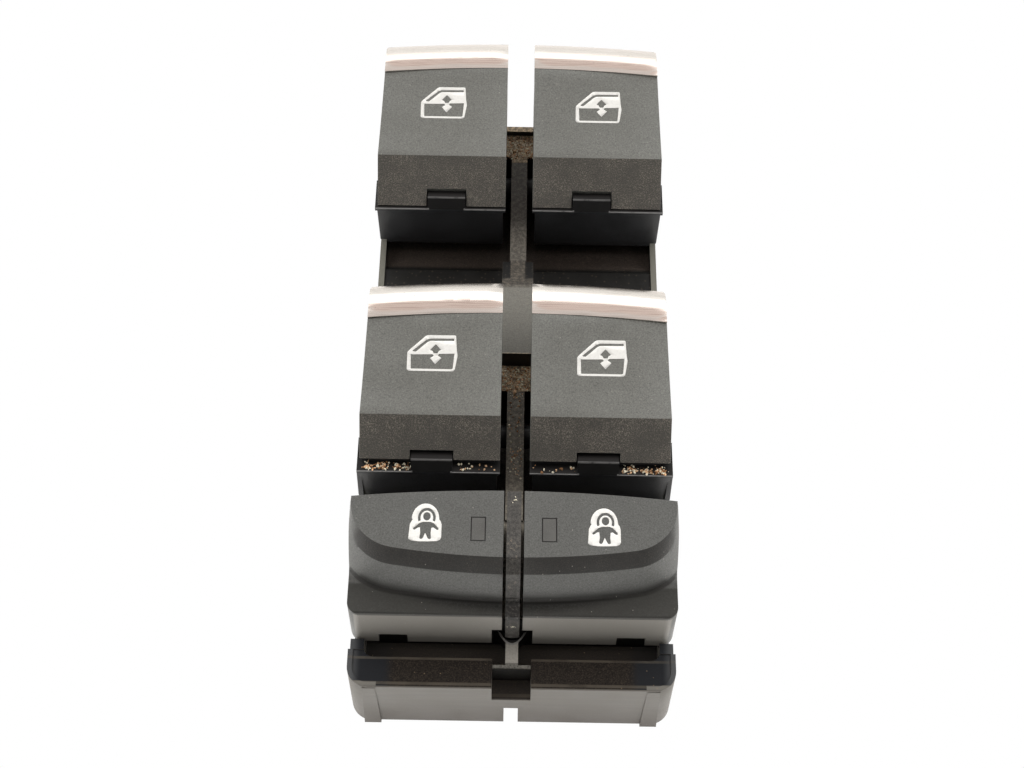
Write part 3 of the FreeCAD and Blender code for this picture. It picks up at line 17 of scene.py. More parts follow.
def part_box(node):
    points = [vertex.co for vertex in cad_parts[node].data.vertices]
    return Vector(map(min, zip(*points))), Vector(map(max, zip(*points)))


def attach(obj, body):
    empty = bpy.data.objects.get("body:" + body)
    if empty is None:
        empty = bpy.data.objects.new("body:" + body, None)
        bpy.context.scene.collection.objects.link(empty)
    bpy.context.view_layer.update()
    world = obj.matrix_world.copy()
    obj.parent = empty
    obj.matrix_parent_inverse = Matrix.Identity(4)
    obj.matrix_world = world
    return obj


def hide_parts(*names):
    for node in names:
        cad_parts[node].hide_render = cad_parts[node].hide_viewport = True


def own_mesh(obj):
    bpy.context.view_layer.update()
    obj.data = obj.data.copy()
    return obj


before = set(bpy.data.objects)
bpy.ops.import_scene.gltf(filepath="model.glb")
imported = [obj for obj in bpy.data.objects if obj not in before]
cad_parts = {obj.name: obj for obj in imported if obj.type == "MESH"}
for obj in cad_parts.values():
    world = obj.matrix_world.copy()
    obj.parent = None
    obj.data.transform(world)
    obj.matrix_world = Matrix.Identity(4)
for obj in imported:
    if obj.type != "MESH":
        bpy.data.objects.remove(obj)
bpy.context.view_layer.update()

bl_info = {
    "name": "Power window switch",
    "version": (1, 0, 0),
    "blender": (4, 5, 0),
    "location": "View3D > Sidebar > Switch",
    "description": "Dresses the packed window switch and sets up its studio",
    "category": "Object",
}

MM = 0.001
# Distance from the front wall of the base to the middle of the switch
CENTRE = 60.9
SIDES = (("left", -1), ("right", 1))
WHITE = (1.0, 1.0, 1.0, 1.0)


def point(x, y, z):
    """A point given in millimetres from the front wall, as a place in the row frame."""
    return Vector((x * MM, (y - CENTRE) * MM, z * MM))


def corners(node):
    """The lowest and the highest corner of a CAD node, in millimetres from the front wall."""
    return [Vector((x / MM, y / MM + CENTRE, z / MM)) for x, y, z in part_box(node)]


def linear(red, green, blue):
    """A colour as it looks on screen, 0 to 255, turned into the renderer's own numbers."""
    def one(v):
        v /= 255
        return v / 12.92 if v <= 0.04045 else ((v + 0.055) / 1.055) ** 2.4
    return (one(red), one(green), one(blue), 1.0)


def shade(colour, factor):
    return tuple(c * factor for c in colour[:3]) + (1.0,)


# Places that come from the frame

LENS_MIDDLE = sum(corners("indicator_right_lens"), Vector()) / 2
LOCK_TOP = corners("child_lock_right_key")[1].z
CATCH_TOP = corners("front_catch")[1].z
FRAME_TOP = corners("key_frame")[1].z
ROCKER_NEAR = corners("rear_left_rocker")[0].y
ROW_PITCH = corners("front_left_rocker")[0].y - ROCKER_NEAR
ROWS = (("rear", 0.0), ("front", ROW_PITCH))
WINDOWS = [f"{row}_{side}" for row, _ in ROWS for side, _ in SIDES]


# Procedural materials

class Nodes:
    """Short ways to add the nodes that the surfaces here are made of."""

    def __init__(self, name, world=None):
        if world:
            self.tree = world.node_tree
        else:
            self.material = bpy.data.materials.new(name)
            self.material.use_nodes = True
            self.tree = self.material.node_tree
            self.shader = self.tree.nodes["Principled BSDF"]
        self.place = self.add("ShaderNodeTexCoord")["Generated" if world else "Object"]

    def add(self, kind, inputs=None, **options):
        """Adds a node with its options, fills its inputs and returns its outputs."""
        node = self.tree.nodes.new(kind)
        for name, value in options.items():
            setattr(node, name, value)
        self.fill(node.inputs, inputs or {})
        return node.outputs

    def fill(self, sockets, values):
        """Gives each socket a fixed value or another node's output."""
        for name, value in values.items():
            if isinstance(value, (int, float, tuple)):
                sockets[name].default_value = value
            else:
                self.tree.links.new(value, sockets[name])

    def stretched(self, scale):
        """Coordinates that are squeezed or stretched along each axis."""
        return self.add("ShaderNodeMapping", {"Scale": scale, "Vector": self.place})["Vector"]

    def noise(self, scale, detail=3.0, rough=0.55, place=None):
        inputs = {"Scale": scale, "Detail": detail, "Roughness": rough, "Vector": place or self.place}
        return self.add("ShaderNodeTexNoise", inputs)["Fac"]

    def specks(self, scale, radius, share):
        """1 inside scattered round specks, 0 elsewhere. Share is how many cells have one."""
        cells = self.add("ShaderNodeTexVoronoi", {"Scale": scale, "Vector": self.place})
        near = self.ramp(cells["Distance"], radius, radius * 0.6)
        chance = self.add("ShaderNodeSeparateColor", {"Color": cells["Color"]})["Red"]
        return self.times(near, self.ramp(chance, share, share * 0.98))

    def ramp(self, source, low, high, to_low=0.0, to_high=1.0):
        """Goes smoothly from one value to another as the source goes from low to high."""
        if low > high:
            low, high, to_low, to_high = high, low, to_high, to_low
        inputs = {"Value": source, "From Min": low, "From Max": high, "To Min": to_low, "To Max": to_high}
        return self.add("ShaderNodeMapRange", inputs, interpolation_type="SMOOTHSTEP")["Result"]

    def drift(self, cloud, low=0.0, high=1.0):
        """Follows a cloudy noise from one value to another."""
        return self.ramp(cloud, 0.3, 0.7, low, high)

    def cloudy(self, cloud, colour, dark, light):
        """A colour that drifts between two shades of itself."""
        return self.mix(self.drift(cloud), shade(colour, dark), shade(colour, light))

    def maths(self, how, first, second=0.0):
        return self.add("ShaderNodeMath", {0: first, 1: second}, operation=how)["Value"]

    def chain(self, how, sources):
        result = sources[0]
        for source in sources[1:]:
            result = self.maths(how, result, source)
        return result

    def times(self, *sources):
        return self.chain("MULTIPLY", sources)

    def plus(self, *sources):
        return self.chain("ADD", sources)

    def most(self, *sources):
        return self.chain("MAXIMUM", sources)

    def part(self, vector, name):
        """The X, Y or Z of a vector."""
        return self.add("ShaderNodeSeparateXYZ", {"Vector": vector})[name]

    def axis(self, name):
        return self.part(self.place, name)

    def facing(self, name):
        """How far the surface faces along an axis: 1 straight along it, 0 across, -1 away."""
        return self.part(self.add("ShaderNodeNewGeometry")["Normal"], name)

    def past(self, name, low, high, bend=0.0):
        """Goes from 0 to 1 between two places along an axis, or back where the second is lower.

        A bend of 1000 moves both places up the axis by 1 mm at 1 mm from the middle line, and by
        4 mm at 2 mm.
        """
        source = self.axis(name)
        if bend:
            curve = self.times(self.axis("X"), self.axis("X"), bend)
            source = self.maths("SUBTRACT", source, curve)
        shift = CENTRE if name == "Y" else 0.0
        return self.ramp(source, (low - shift) * MM, (high - shift) * MM)

    def band(self, name, low, high, soft=0.1):
        """1 between two places along an axis."""
        rise = self.past(name, low - soft, low + soft)
        return self.times(rise, self.past(name, high + soft, high - soft))

    def sideways(self):
        """Distance from the middle line."""
        return self.maths("ABSOLUTE", self.axis("X"))

    def beyond(self, low, high):
        """0 near the middle line, 1 farther than high from it."""
        return self.ramp(self.sideways(), low * MM, high * MM)

    def within(self, low, high):
        """1 near the middle line, 0 farther than high from it."""
        return self.ramp(self.sideways(), high * MM, low * MM)

    def clear_of(self, middle, half, soft):
        """0 close to the two lines at this distance from the middle line, 1 farther off."""
        off = self.maths("ABSOLUTE", self.maths("SUBTRACT", self.sideways(), middle * MM))
        return self.ramp(off, half * MM, (half + soft) * MM)

    def outside(self, mask):
        """Turns a mask round: 1 where it was 0."""
        return self.ramp(mask, 1.0, 0.0)

    def mix(self, amount, first, second):
        return self.add("ShaderNodeMix", {0: amount, 6: first, 7: second}, data_type="RGBA")[2]

    def over(self, tone, colour, where, amount=1.0):
        """Lays a colour over a tone where a mask is 1, as strongly as the amount says."""
        return self.mix(self.times(where, amount), tone, colour)

    def bump(self, height, strength, distance=0.0001):
        inputs = {"Strength": strength, "Distance": distance, "Height": height}
        return self.add("ShaderNodeBump", inputs)["Normal"]

    def set(self, **values):
        """Fills the shader's inputs and returns the finished material."""
        self.fill(self.shader.inputs, {name.replace("_", " "): values[name] for name in values})
        return self.material


def moulded(name, colour, rough, variation=0.12, grain=0.25):
    """Moulded plastic: cloudy tone, fine pale grain and uneven gloss."""
    n = Nodes(name)
    cloud = n.noise(180.0)
    fine = n.noise(5200.0, detail=2.0)
    tone = n.cloudy(cloud, colour, 1 - variation, 1 + variation)
    tone = n.over(tone, shade(colour, 1.9), n.ramp(fine, 0.52, 0.72), 0.35)
    gloss = n.ramp(cloud, 0.25, 0.75, rough - 0.06, rough + 0.08)
    return n.set(Base_Color=tone, Roughness=gloss, Normal=n.bump(fine, grain))


def key_paint(name, colour, lower_painted_shade, plate_dust_and_shade, dust):
    """Satin key paint: grainy, with painted shade and dust on the lower faces, and a few pale specks."""
    n = Nodes(name)
    dust_tone, skirt_tone, speck_tone = linear(168, 159, 147), linear(146, 143, 137), linear(206, 200, 190)
    seam_tone, ring_tone, foot_dirt_and_shade = linear(40, 39, 38), linear(22, 21, 21), linear(34, 32, 30)
    cloud = n.noise(140.0)
    fine = n.noise(3900.0, detail=6.0, rough=0.8)
    tone = n.cloudy(cloud, colour, 0.95, 1.05)
    tone = n.over(tone, shade(colour, 1.6), n.ramp(fine, 0.5, 0.62), 0.6)
    tone = n.over(tone, shade(colour, 0.4), n.ramp(fine, 0.5, 0.38), 0.6)
    up, ahead = n.facing("Z"), n.facing("Y")

    # The lower faces of the window keys lean toward the front wall; they get painted shade, with dust over
    # it
    lower = n.times(n.ramp(up, 0.93, 0.85), n.ramp(up, 0.4, 0.5), n.ramp(ahead, -0.3, -0.45))
    tone = n.over(tone, lower_painted_shade, lower, 0.85)
    patches = n.drift(n.noise(260.0, detail=4.0), dust * 0.4, dust)
    tiny = n.noise(5600.0, detail=4.0, rough=0.8)
    tone = n.over(tone, dust_tone, n.times(lower, n.ramp(tiny, 0.48, 0.66)), patches)

    # The child lock keys: skirt below, seam under the plate's edge, ring round each lens
    skirt = n.times(n.ramp(ahead, -0.8, -0.93), n.band("Z", 12.0, 23.7, 0.2))
    tone = n.over(tone, skirt_tone, skirt, 0.8)
    seam = n.times(n.ramp(ahead, -0.7, -0.9), n.band("Z", 23.35, 23.75, 0.08))
    tone = n.over(tone, seam_tone, seam, 0.7)
    ring_half, ring_long = 1.25, 2.2
    ring = n.outside(n.clear_of(LENS_MIDDLE.x, ring_half - 0.02, 0.02))
    ring = n.times(ring, n.band("Y", LENS_MIDDLE.y - ring_long, LENS_MIDDLE.y + ring_long, 0.02))
    tone = n.over(tone, ring_tone, ring, n.band("Z", LOCK_TOP - 3.0, LOCK_TOP + 1.0))

    # Dirt and painted shade at the foot of the raised pad, and on the plate round it
    foot = n.times(n.past("Z", 26.6, 24.2), n.band("Y", 7.6, 15.0, 0.3), n.band("Z", 24.05, 27.0))
    tone = n.over(tone, foot_dirt_and_shade, foot, n.ramp(fine, 0.4, 0.56, 0.45, 1.0))
    plate = n.times(n.band("Z", 23.85, 24.3, 0.12), n.band("Y", 7.6, 14.0, 0.3), up)
    # The plate's dust gets painted shade near the pad's foot, and is lighter farther from it
    out_of_pad_shade = n.past("Y", 10.9, 8.3, bend=9.0)
    film = n.mix(out_of_pad_shade, plate_dust_and_shade, shade(plate_dust_and_shade, 9.0))
    tone = n.over(tone, film, plate, n.ramp(fine, 0.4, 0.62, 1.0, 0.8))
    tone = n.over(tone, speck_tone, n.specks(1500.0, 0.15, 0.06), 0.4)
    return n.set(Base_Color=tone, Roughness=n.drift(cloud, 0.42, 0.5), Normal=n.bump(fine, 0.34),
                 Specular_IOR_Level=n.ramp(plate, 0.0, 1.0, 0.5, 0.2))


def bright_trim():
    """Satin bright trim: faint lines along X, cloudy gloss and a few dull specks."""
    n = Nodes("bright_trim")
    lines = n.noise(1.0, detail=4.0, place=n.stretched((90.0, 9000.0, 9000.0)))
    level = n.ramp(n.facing("Z"), 0.95, 0.98)
    specks = n.specks(1700.0, 0.2, 0.05)
    tone = n.mix(n.drift(lines), linear(214, 208, 203), linear(230, 225, 220))
    # The level band is painted darker and pinkish: painted reflection of the dim overhead
    tone = n.over(tone, linear(224, 210, 202), level)
    tone = n.over(tone, linear(196, 181, 172), n.ramp(lines, 0.5, 0.66), level)
    tone = n.over(tone, linear(110, 92, 84), specks, 0.6)
    gloss = n.most(n.drift(n.noise(240.0), 0.19, 0.23), n.times(specks, 0.6))
    return n.set(Base_Color=tone, Metallic=1.0, Roughness=gloss, Normal=n.bump(lines, 0.02))


def rocker_plastic():
    """Dark bluish carriers under the keys, with painted shade under the keys and pale edges on flange and
    tab: painted highlight and wear.
    """
    n = Nodes("rocker_plastic")
    colour, shelf_shade_tone, highlight_and_wear_tone = linear(44, 45, 47), linear(10, 9, 9), linear(128, 128, 128)
    cloud = n.noise(220.0)
    fine = n.noise(4600.0, detail=3.0)
    tone = n.cloudy(cloud, colour, 0.85, 1.2)
    tone = n.over(tone, shade(colour, 3.0), n.ramp(fine, 0.55, 0.8), 0.25)
    # Upward faces under the keys are painted near black: painted shade
    shelf = n.times(n.ramp(n.facing("Z"), 0.3, 0.7), n.past("Z", 24.0, 24.5))
    tone = n.over(tone, shelf_shade_tone, shelf, 0.95)

    # The flange's edge is pale, painted highlight and wear, except below the tab, and the tab's edge less
    # so
    tab_middles, tab_half = (13.95, 13.35), 3.15
    edges = []
    for (_, row_place), middle in zip(ROWS, tab_middles):
        near = ROCKER_NEAR + row_place
        flange = n.times(n.band("Z", 25.08, 25.5, 0.05), n.band("Y", near - 0.2, near + 0.14, 0.05))
        edges.append(n.times(flange, n.clear_of(middle, tab_half, 0.05)))
        tab = n.times(n.band("Z", 26.82, 27.2, 0.04), n.band("Y", near + 1.2, near + 1.62, 0.05))
        edges.append(n.times(tab, 0.6))
    worn = n.times(n.most(*edges), n.ramp(n.noise(900.0, detail=5.0), 0.25, 0.5, 0.4, 0.95))
    tone = n.over(tone, highlight_and_wear_tone, worn)
    gloss = n.most(n.drift(cloud, 0.36, 0.46), n.times(worn, 0.6))
    return n.set(Base_Color=tone, Roughness=gloss, Normal=n.bump(fine, 0.3), Specular_IOR_Level=0.35)


def frame_plastic():
    """Near-black frame: granular brown dust on pads and troughs, lighter on the pads as painted light, pale
    rims along its sides.
    """
    n = Nodes("frame_plastic")
    colour, rim_tone, trough_tone = linear(27, 27, 26), linear(130, 129, 120), linear(110, 98, 90)
    near_web_dust_painted_lighter, far_web_tone = linear(142, 136, 124), linear(108, 103, 95)
    slope_dark, slope_light, painted_side_shading = linear(52, 49, 45), linear(96, 89, 80), linear(12, 11, 11)
    bridge_tone, pad_dust_painted_lighter, crumb_tone = linear(120, 119, 113), linear(214, 190, 158), linear(206, 186, 160)
    cloud = n.noise(200.0)
    fine = n.noise(4200.0, detail=4.0, rough=0.7)
    coarse = n.ramp(n.noise(1500.0, detail=6.0, rough=0.8), 0.44, 0.6)
    tone = n.cloudy(cloud, colour, 0.85, 1.2)
    up = n.ramp(n.facing("Z"), 0.35, 0.95)

    rim = n.times(n.beyond(24.9, 25.1), up, n.band("Z", 12.9, 13.6))
    tone = n.over(tone, rim_tone, rim, 0.85)
    trough = n.times(up, n.past("Z", 12.6, 11.8))
    tone = n.over(tone, trough_tone, trough, n.plus(n.times(n.ramp(fine, 0.42, 0.6), 0.3), 0.2))

    # The web runs along the middle between the keys, up to the frame's top
    middle = n.within(2.6, 3.1)
    web = n.times(middle, up, n.band("Z", 14.0, FRAME_TOP + 0.5, 0.2))
    # Nearer the front wall the web's dust is painted lighter: painted light for the shade it lies in
    web_tone = n.mix(n.past("Y", 53.0, 54.0), near_web_dust_painted_lighter, far_web_tone)
    tone = n.over(tone, web_tone, web, n.plus(n.times(coarse, 0.5), 0.4))

    # Between the rows it slopes down from the bridge; its sides get painted shade, so only its middle looks
    # lit
    slope = n.times(middle, n.band("Y", 73.6, 81.8, 0.2))
    tone = n.over(tone, n.mix(coarse, slope_dark, slope_light), slope, 0.9)
    sides = n.times(slope, n.beyond(1.25, 1.4), n.band("Y", 75.6, 82.0, 0.3))
    tone = n.over(tone, painted_side_shading, sides)
    bridge = n.times(middle, up, n.band("Y", 58.7, 73.0, 0.3))
    bridge = n.times(bridge, n.band("Z", FRAME_TOP - 0.5, FRAME_TOP + 0.5, 0.2))
    tone = n.over(tone, bridge_tone, bridge, n.ramp(fine, 0.42, 0.58, 0.6, 1.0))

    # The dust on the pads is painted lighter: painted light for the shade between the keys
    pads = n.times(web, n.most(n.band("Y", 53.4, 58.9, 0.2), n.band("Y", 105.0, 113.0, 0.2)))
    film = n.times(pads, n.plus(n.times(coarse, 0.75), 0.25))
    tone = n.over(tone, pad_dust_painted_lighter, film)
    crumbs = n.times(n.specks(1300.0, 0.3, 0.45), up, n.most(pads, 0.06))
    tone = n.over(tone, crumb_tone, crumbs, 0.85)
    height = n.plus(n.times(fine, n.plus(n.times(pads, 1.2), 0.3)), crumbs)
    gloss = n.most(n.drift(cloud, 0.4, 0.5), n.times(film, 0.95))
    return n.set(Base_Color=tone, Roughness=gloss, Normal=n.bump(height, 0.5, 0.0002),
                 Specular_IOR_Level=0.3)


def base_plastic(colour):
    """Base: streaky front wall, a dark granular film on the ledge and in the recess, bluish painted
    reflection at its ends.
    """
    n = Nodes("base_plastic")
    streak_tone, low_tone, recess_tone = linear(114, 110, 102), linear(76, 69, 62), linear(62, 59, 56)
    ledge_tone, middle_tone, painted_side_shading = linear(33, 35, 39), linear(27, 24, 22), linear(96, 98, 100)
    rim_tone, corner_tone, film_tone = linear(104, 98, 88), linear(126, 124, 118), linear(80, 71, 62)
    speck_tone = linear(156, 134, 108)
    cloud = n.noise(150.0)
    fine = n.noise(5200.0, detail=3.0, rough=0.65)
    streaks = n.noise(1.0, detail=4.0, place=n.stretched((70.0, 70.0, 1500.0)))
    tone = n.cloudy(cloud, colour, 0.92, 1.08)
    tone = n.over(tone, streak_tone, n.ramp(streaks, 0.35, 0.7), 0.3)
    tone = n.over(tone, low_tone, n.past("Z", 11.0, 1.0), 0.75)

    up = n.times(n.ramp(n.facing("Z"), 0.4, 0.95), n.past("Z", 9.5, 9.8))
    ledge = n.times(up, n.past("Y", 0.1, 0.35))
    middle = n.outside(n.beyond(18.5, 21.5))
    # The ledge is dark; toward its ends the tone turns bluish, a painted reflection
    tone = n.over(tone, n.mix(middle, ledge_tone, middle_tone), ledge)
    recess = n.times(ledge, n.past("Z", 12.5, 11.5))
    tone = n.over(tone, recess_tone, recess, 0.7)
    # Bluish grey at the outer ends: painted reflection
    side = n.times(ledge, n.beyond(24.6, 26.4), n.band("Z", 14.3, 14.8))
    tone = n.over(tone, painted_side_shading, side, 0.7)
    rims = n.times(ledge, n.most(n.band("Y", 5.0, 5.45), n.band("Y", 0.5, 1.1)))
    tone = n.over(tone, rim_tone, rims, n.ramp(cloud, 0.3, 0.6, 0.25, 0.55))
    corner = n.times(ledge, n.beyond(21.9, 22.1), n.past("Y", 1.2, 0.9))
    tone = n.over(tone, corner_tone, corner, 0.8)

    coarse = n.ramp(n.noise(4200.0, detail=6.0, rough=0.9), 0.46, 0.62)
    film = n.times(coarse, ledge, middle, 0.6)
    tone = n.over(tone, film_tone, film)
    tone = n.over(tone, speck_tone, n.times(n.specks(1900.0, 0.2, 0.04), ledge), 0.6)
    gloss = n.most(n.drift(cloud, 0.42, 0.52), n.times(film, 1.2))
    return n.set(Base_Color=tone, Roughness=gloss, Normal=n.bump(fine, 0.26),
                 Specular_IOR_Level=n.ramp(ledge, 0.0, 1.0, 0.5, 0.12))


def catch_plastic():
    """Catch: pale stem ending in a U-shaped rim, black crossbar with a pale line along its top: painted
    highlight and wear.
    """
    n = Nodes("catch_plastic")
    colour, stem_tone, rim_tone = linear(20, 20, 20), linear(166, 163, 156), linear(150, 149, 146)
    highlight_and_wear_tone, grit_tone = linear(134, 132, 126), linear(70, 66, 60)
    fine = n.noise(3000.0, detail=5.0, rough=0.75)
    stem = n.times(n.band("Y", 4.6, 9.3, 0.15), n.outside(n.beyond(1.0, 1.1)))
    # The stem is painted black beyond a U-shaped edge under the strip's chin: painted shadow
    clear_of_chin_shadow = n.past("Y", 8.2, 8.05, bend=500.0)
    line = n.times(n.band("Y", 3.7, 4.6, 0.2), n.band("Z", CATCH_TOP - 0.2, CATCH_TOP + 0.1, 0.05))
    tone = n.mix(n.times(stem, clear_of_chin_shadow), colour, stem_tone)
    tone = n.over(tone, rim_tone, n.past("Z", CATCH_TOP + 0.02, CATCH_TOP + 0.06))
    # The pale line along the crossbar's top is painted highlight and wear
    tone = n.over(tone, highlight_and_wear_tone, line, n.ramp(fine, 0.36, 0.6, 0.3, 1.0))
    tone = n.over(tone, grit_tone, n.ramp(fine, 0.4, 0.6), 0.2)
    return n.set(Base_Color=tone, Roughness=n.drift(fine, 0.5, 0.62), Normal=n.bump(fine, 0.3),
                 Specular_IOR_Level=n.ramp(stem, 0.0, 1.0, 0.1, 0.5))


def strip_plastic():
    """Centre strip: granular, a dark band of dirt and painted shade at its step, a black half-round painted
    shadow at its end.
    """
    n = Nodes("strip_plastic")
    colour, step_dirt_and_shade = linear(60, 58, 55), linear(14, 13, 12)
    dust_tone, end_shadow_tone = linear(160, 140, 116), linear(4, 4, 4)
    cloud = n.noise(300.0, detail=4.0)
    fine = n.noise(2200.0, detail=6.0, rough=0.85)
    tone = n.mix(n.ramp(fine, 0.42, 0.6), shade(colour, 0.55), shade(colour, 1.75))
    step = n.times(n.band("Z", 22.9, 24.9, 0.5), n.band("Y", 7.0, 12.2, 0.8))
    tone = n.over(tone, step_dirt_and_shade, step, n.ramp(fine, 0.62, 0.5))
    dust = n.times(n.ramp(cloud, 0.5, 0.66), n.ramp(fine, 0.55, 0.62))
    tone = n.over(tone, dust_tone, dust, 0.6)
    # The chin's lower end is painted black and loses its shine: painted shadow
    end = n.past("Z", 16.1, 15.8, bend=300.0)
    tone = n.over(tone, end_shadow_tone, end)
    return n.set(Base_Color=tone, Roughness=n.drift(cloud, 0.42, 0.55), Normal=n.bump(fine, 0.4),
                 Specular_IOR_Level=n.ramp(end, 0.0, 1.0, 0.5, 0.0))


def metal(name, colour, rough):
    """Drawn metal with fine lines along Y."""
    n = Nodes(name)
    drawn = n.noise(1.0, detail=3.0, place=n.stretched((4000.0, 300.0, 4000.0)))
    return n.set(Base_Color=n.cloudy(drawn, colour, 0.85, 1.1), Metallic=1.0,
                 Roughness=n.drift(drawn, rough - 0.06, rough + 0.06), Normal=n.bump(drawn, 0.1))


def clear_plastic(name, colour, rough):
    n = Nodes(name)
    cloud = n.noise(600.0)
    return n.set(Base_Color=n.cloudy(cloud, colour, 0.9, 1.0), Transmission_Weight=0.7, IOR=1.49,
                 Roughness=n.drift(cloud, rough, rough + 0.08))


def board_laminate():
    """Solder mask with copper tracks showing as slightly raised lines."""
    n = Nodes("board_laminate")
    bricks = {"Scale": 260.0, "Mortar Size": 0.06, "Vector": n.place}
    tracks = n.add("ShaderNodeTexBrick", bricks)["Fac"]
    cloud = n.noise(300.0)
    tone = n.mix(n.drift(cloud), linear(20, 78, 44), linear(28, 96, 54))
    tone = n.over(tone, linear(60, 130, 84), tracks, 0.5)
    return n.set(Base_Color=tone, Roughness=n.drift(cloud, 0.28, 0.4), Normal=n.bump(tracks, 0.3))


def ink(name, colour):
    """Printed ink with slightly worn edges and tone."""
    n = Nodes(name)
    wear = n.noise(2600.0, detail=4.0)
    tone = n.mix(n.ramp(wear, 0.34, 0.56), shade(colour, 0.94), colour)
    return n.set(Base_Color=tone, Roughness=n.drift(wear, 0.5, 0.6), Normal=n.bump(wear, 0.08))


# Mesh helpers

def mesh_object(name, mesh, material, body=None, smooth=True):
    obj = bpy.data.objects.new(name, mesh)
    bpy.context.scene.collection.objects.link(obj)
    mesh.materials.append(material)
    if smooth:
        mesh.shade_smooth()
    if body:
        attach(obj, body)
    return obj


def finished(bm, name):
    """Turns a bmesh into a mesh and frees it."""
    mesh = bpy.data.meshes.new(name)
    bm.to_mesh(mesh)
    bm.free()
    return mesh


def dress(nodes, material, radius=0.0, angle=32):
    """Gives CAD nodes one material, and rounds their sharp edges where a radius is given."""
    for obj in (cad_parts[node] for node in nodes):
        obj.data.materials.clear()
        obj.data.materials.append(material)
        if radius:
            soften(obj, radius, angle)


def soften(obj, radius, angle):
    """Slightly rounds edges that turn by more than an angle, so that they catch the light."""
    weld = obj.modifiers.new("weld", "WELD")
    weld.merge_threshold = 0.002 * MM
    bevel = obj.modifiers.new("rounded_edges", "BEVEL")
    bevel.width = radius
    bevel.segments = 2
    bevel.limit_method = "ANGLE"
    bevel.angle_limit = math.radians(angle)
    bevel.harden_normals = True


def cut_across(bm, step):
    """Cuts a flat sheet at even steps both ways, so that it can follow a curved surface."""
    for normal in (Vector((1, 0, 0)), Vector((0, 1, 0))):
        places = [v.co.dot(normal) for v in bm.verts]
        cut, high = min(places) + step, max(places)
        while cut < high:
            geom = bm.verts[:] + bm.edges[:] + bm.faces[:]
            bmesh.ops.bisect_plane(bm, geom=geom, plane_co=normal * cut, plane_no=normal, dist=1e-5)
            cut += step


def drape(loops, height, lift, thick=0.015, step=0.9):
    """A thin printed sheet with holes, over a surface whose height follows from the place ahead."""
    loops = [[Vector((x, y, 0)) for x, y in loop] for loop in loops]
    bm = bmesh.new()
    verts = [bm.verts.new(p) for loop in loops for p in loop]
    for face in geometry.tessellate_polygon(loops):
        bm.faces.new([verts[i] for i in face])
    cut_across(bm, step)
    bmesh.ops.recalc_face_normals(bm, faces=bm.faces)
    for face in bm.faces:
        if face.normal.z < 0:
            face.normal_flip()
    for v in bm.verts:
        v.co = point(v.co.x, v.co.y, height(v.co.y) + lift)
    top = bm.faces[:]
    extruded = bmesh.ops.extrude_face_region(bm, geom=top)
    for v in (g for g in extruded["geom"] if isinstance(g, bmesh.types.BMVert)):
        v.co.z += thick * MM
    bmesh.ops.delete(bm, geom=top, context="FACES_ONLY")
    return finished(bm, "printed")


def slab(first, second):
    """A flat piece between two faces of like outline, each a list of (x, y, z) in millimetres."""
    bm = bmesh.new()
    near, far = ([bm.verts.new(point(*corner)) for corner in face] for face in (first, second))
    bm.faces.new(near)
    bm.faces.new(far[::-1])
    for i in range(len(near)):
        bm.faces.new((near[i - 1], far[i - 1], far[i], near[i]))
    bmesh.ops.recalc_face_normals(bm, faces=bm.faces)
    return finished(bm, "slab")


def rounded(outline, radius, steps=4):
    """A closed outline with each corner rounded."""
    out = []
    count = len(outline)
    for i in range(count):
        a, b, c = (Vector(outline[(i + k) % count]) for k in (-1, 0, 1))
        back, ahead = a - b, c - b
        reach = min(radius, back.length * 0.45, ahead.length * 0.45)
        start, end = b + back.normalized() * reach, b + ahead.normalized() * reach
        for k in range(steps + 1):
            t = k / steps
            p = start.lerp(b, t).lerp(b.lerp(end, t), t)
            out.append((p.x, p.y))
    return out


def arc(cx, cy, r, first, last, steps):
    """Points on a circle, with angles in degrees."""
    angles = [math.radians(first + (last - first) * i / steps) for i in range(steps + 1)]
    return [(cx + r * math.cos(a), cy + r * math.sin(a)) for a in angles]


def crumb_mesh(name, grains, seed):
    """Many small crumbs in one mesh. Each grain is (place, size)."""
    rng = random.Random(seed)
    swing, wide, flat, wobble = 6, (0.7, 1.3), (0.5, 0.9), 0.18
    bm = bmesh.new()
    for place, size in grains:
        turn = Euler((rng.random() * swing, rng.random() * swing, rng.random() * swing))
        turn = turn.to_matrix().to_4x4()
        stretch = Matrix.Diagonal((size * rng.uniform(*wide), size * rng.uniform(*wide),
                                   size * rng.uniform(*flat), 1))
        made = bmesh.ops.create_icosphere(bm, subdivisions=1, radius=1.0,
                                          matrix=Matrix.Translation(place) @ turn @ stretch)
        for v in made["verts"]:
            v.co += Vector((rng.uniform(-1, 1), rng.uniform(-1, 1), rng.uniform(-1, 1))) * size * wobble
    return finished(bm, name)


# Window and child pictograms, drawn on a grid of 100 by 100 over their own width and height

WINDOW_SIGN = {
    "edge": rounded([(0, 4), (0, 52), (4, 58), (36, 98), (42, 100), (96, 100), (98, 60), (100, 44),
                     (95, 4), (92, 0), (3, 0)], 3.5),
    "gap": rounded([(10, 56), (37, 86.5), (44, 90), (92, 91), (92.5, 85), (45, 84), (39, 80),
                    (17, 53.5), (12, 54)], 1.5),
    "panel": rounded([(7, 46), (50, 47), (53, 43), (45.5, 36), (56, 19.5), (68, 37), (61, 43),
                      (63, 48.5), (93.5, 49.5), (91, 8), (89, 6), (8, 6)], 1.2),
    "arrow": rounded([(45, 58.5), (56, 75), (67, 59.5), (62.5, 56.5), (60, 49.5), (52.5, 49.5),
                      (50, 56.5)], 1.2),
}
WINDOW_SIGN_SIZE = (8.5, 6.3)
WINDOW_SIGN_MIDDLES = {"left": (-14.2, 52.1), "right": (14.45, 51.7)}

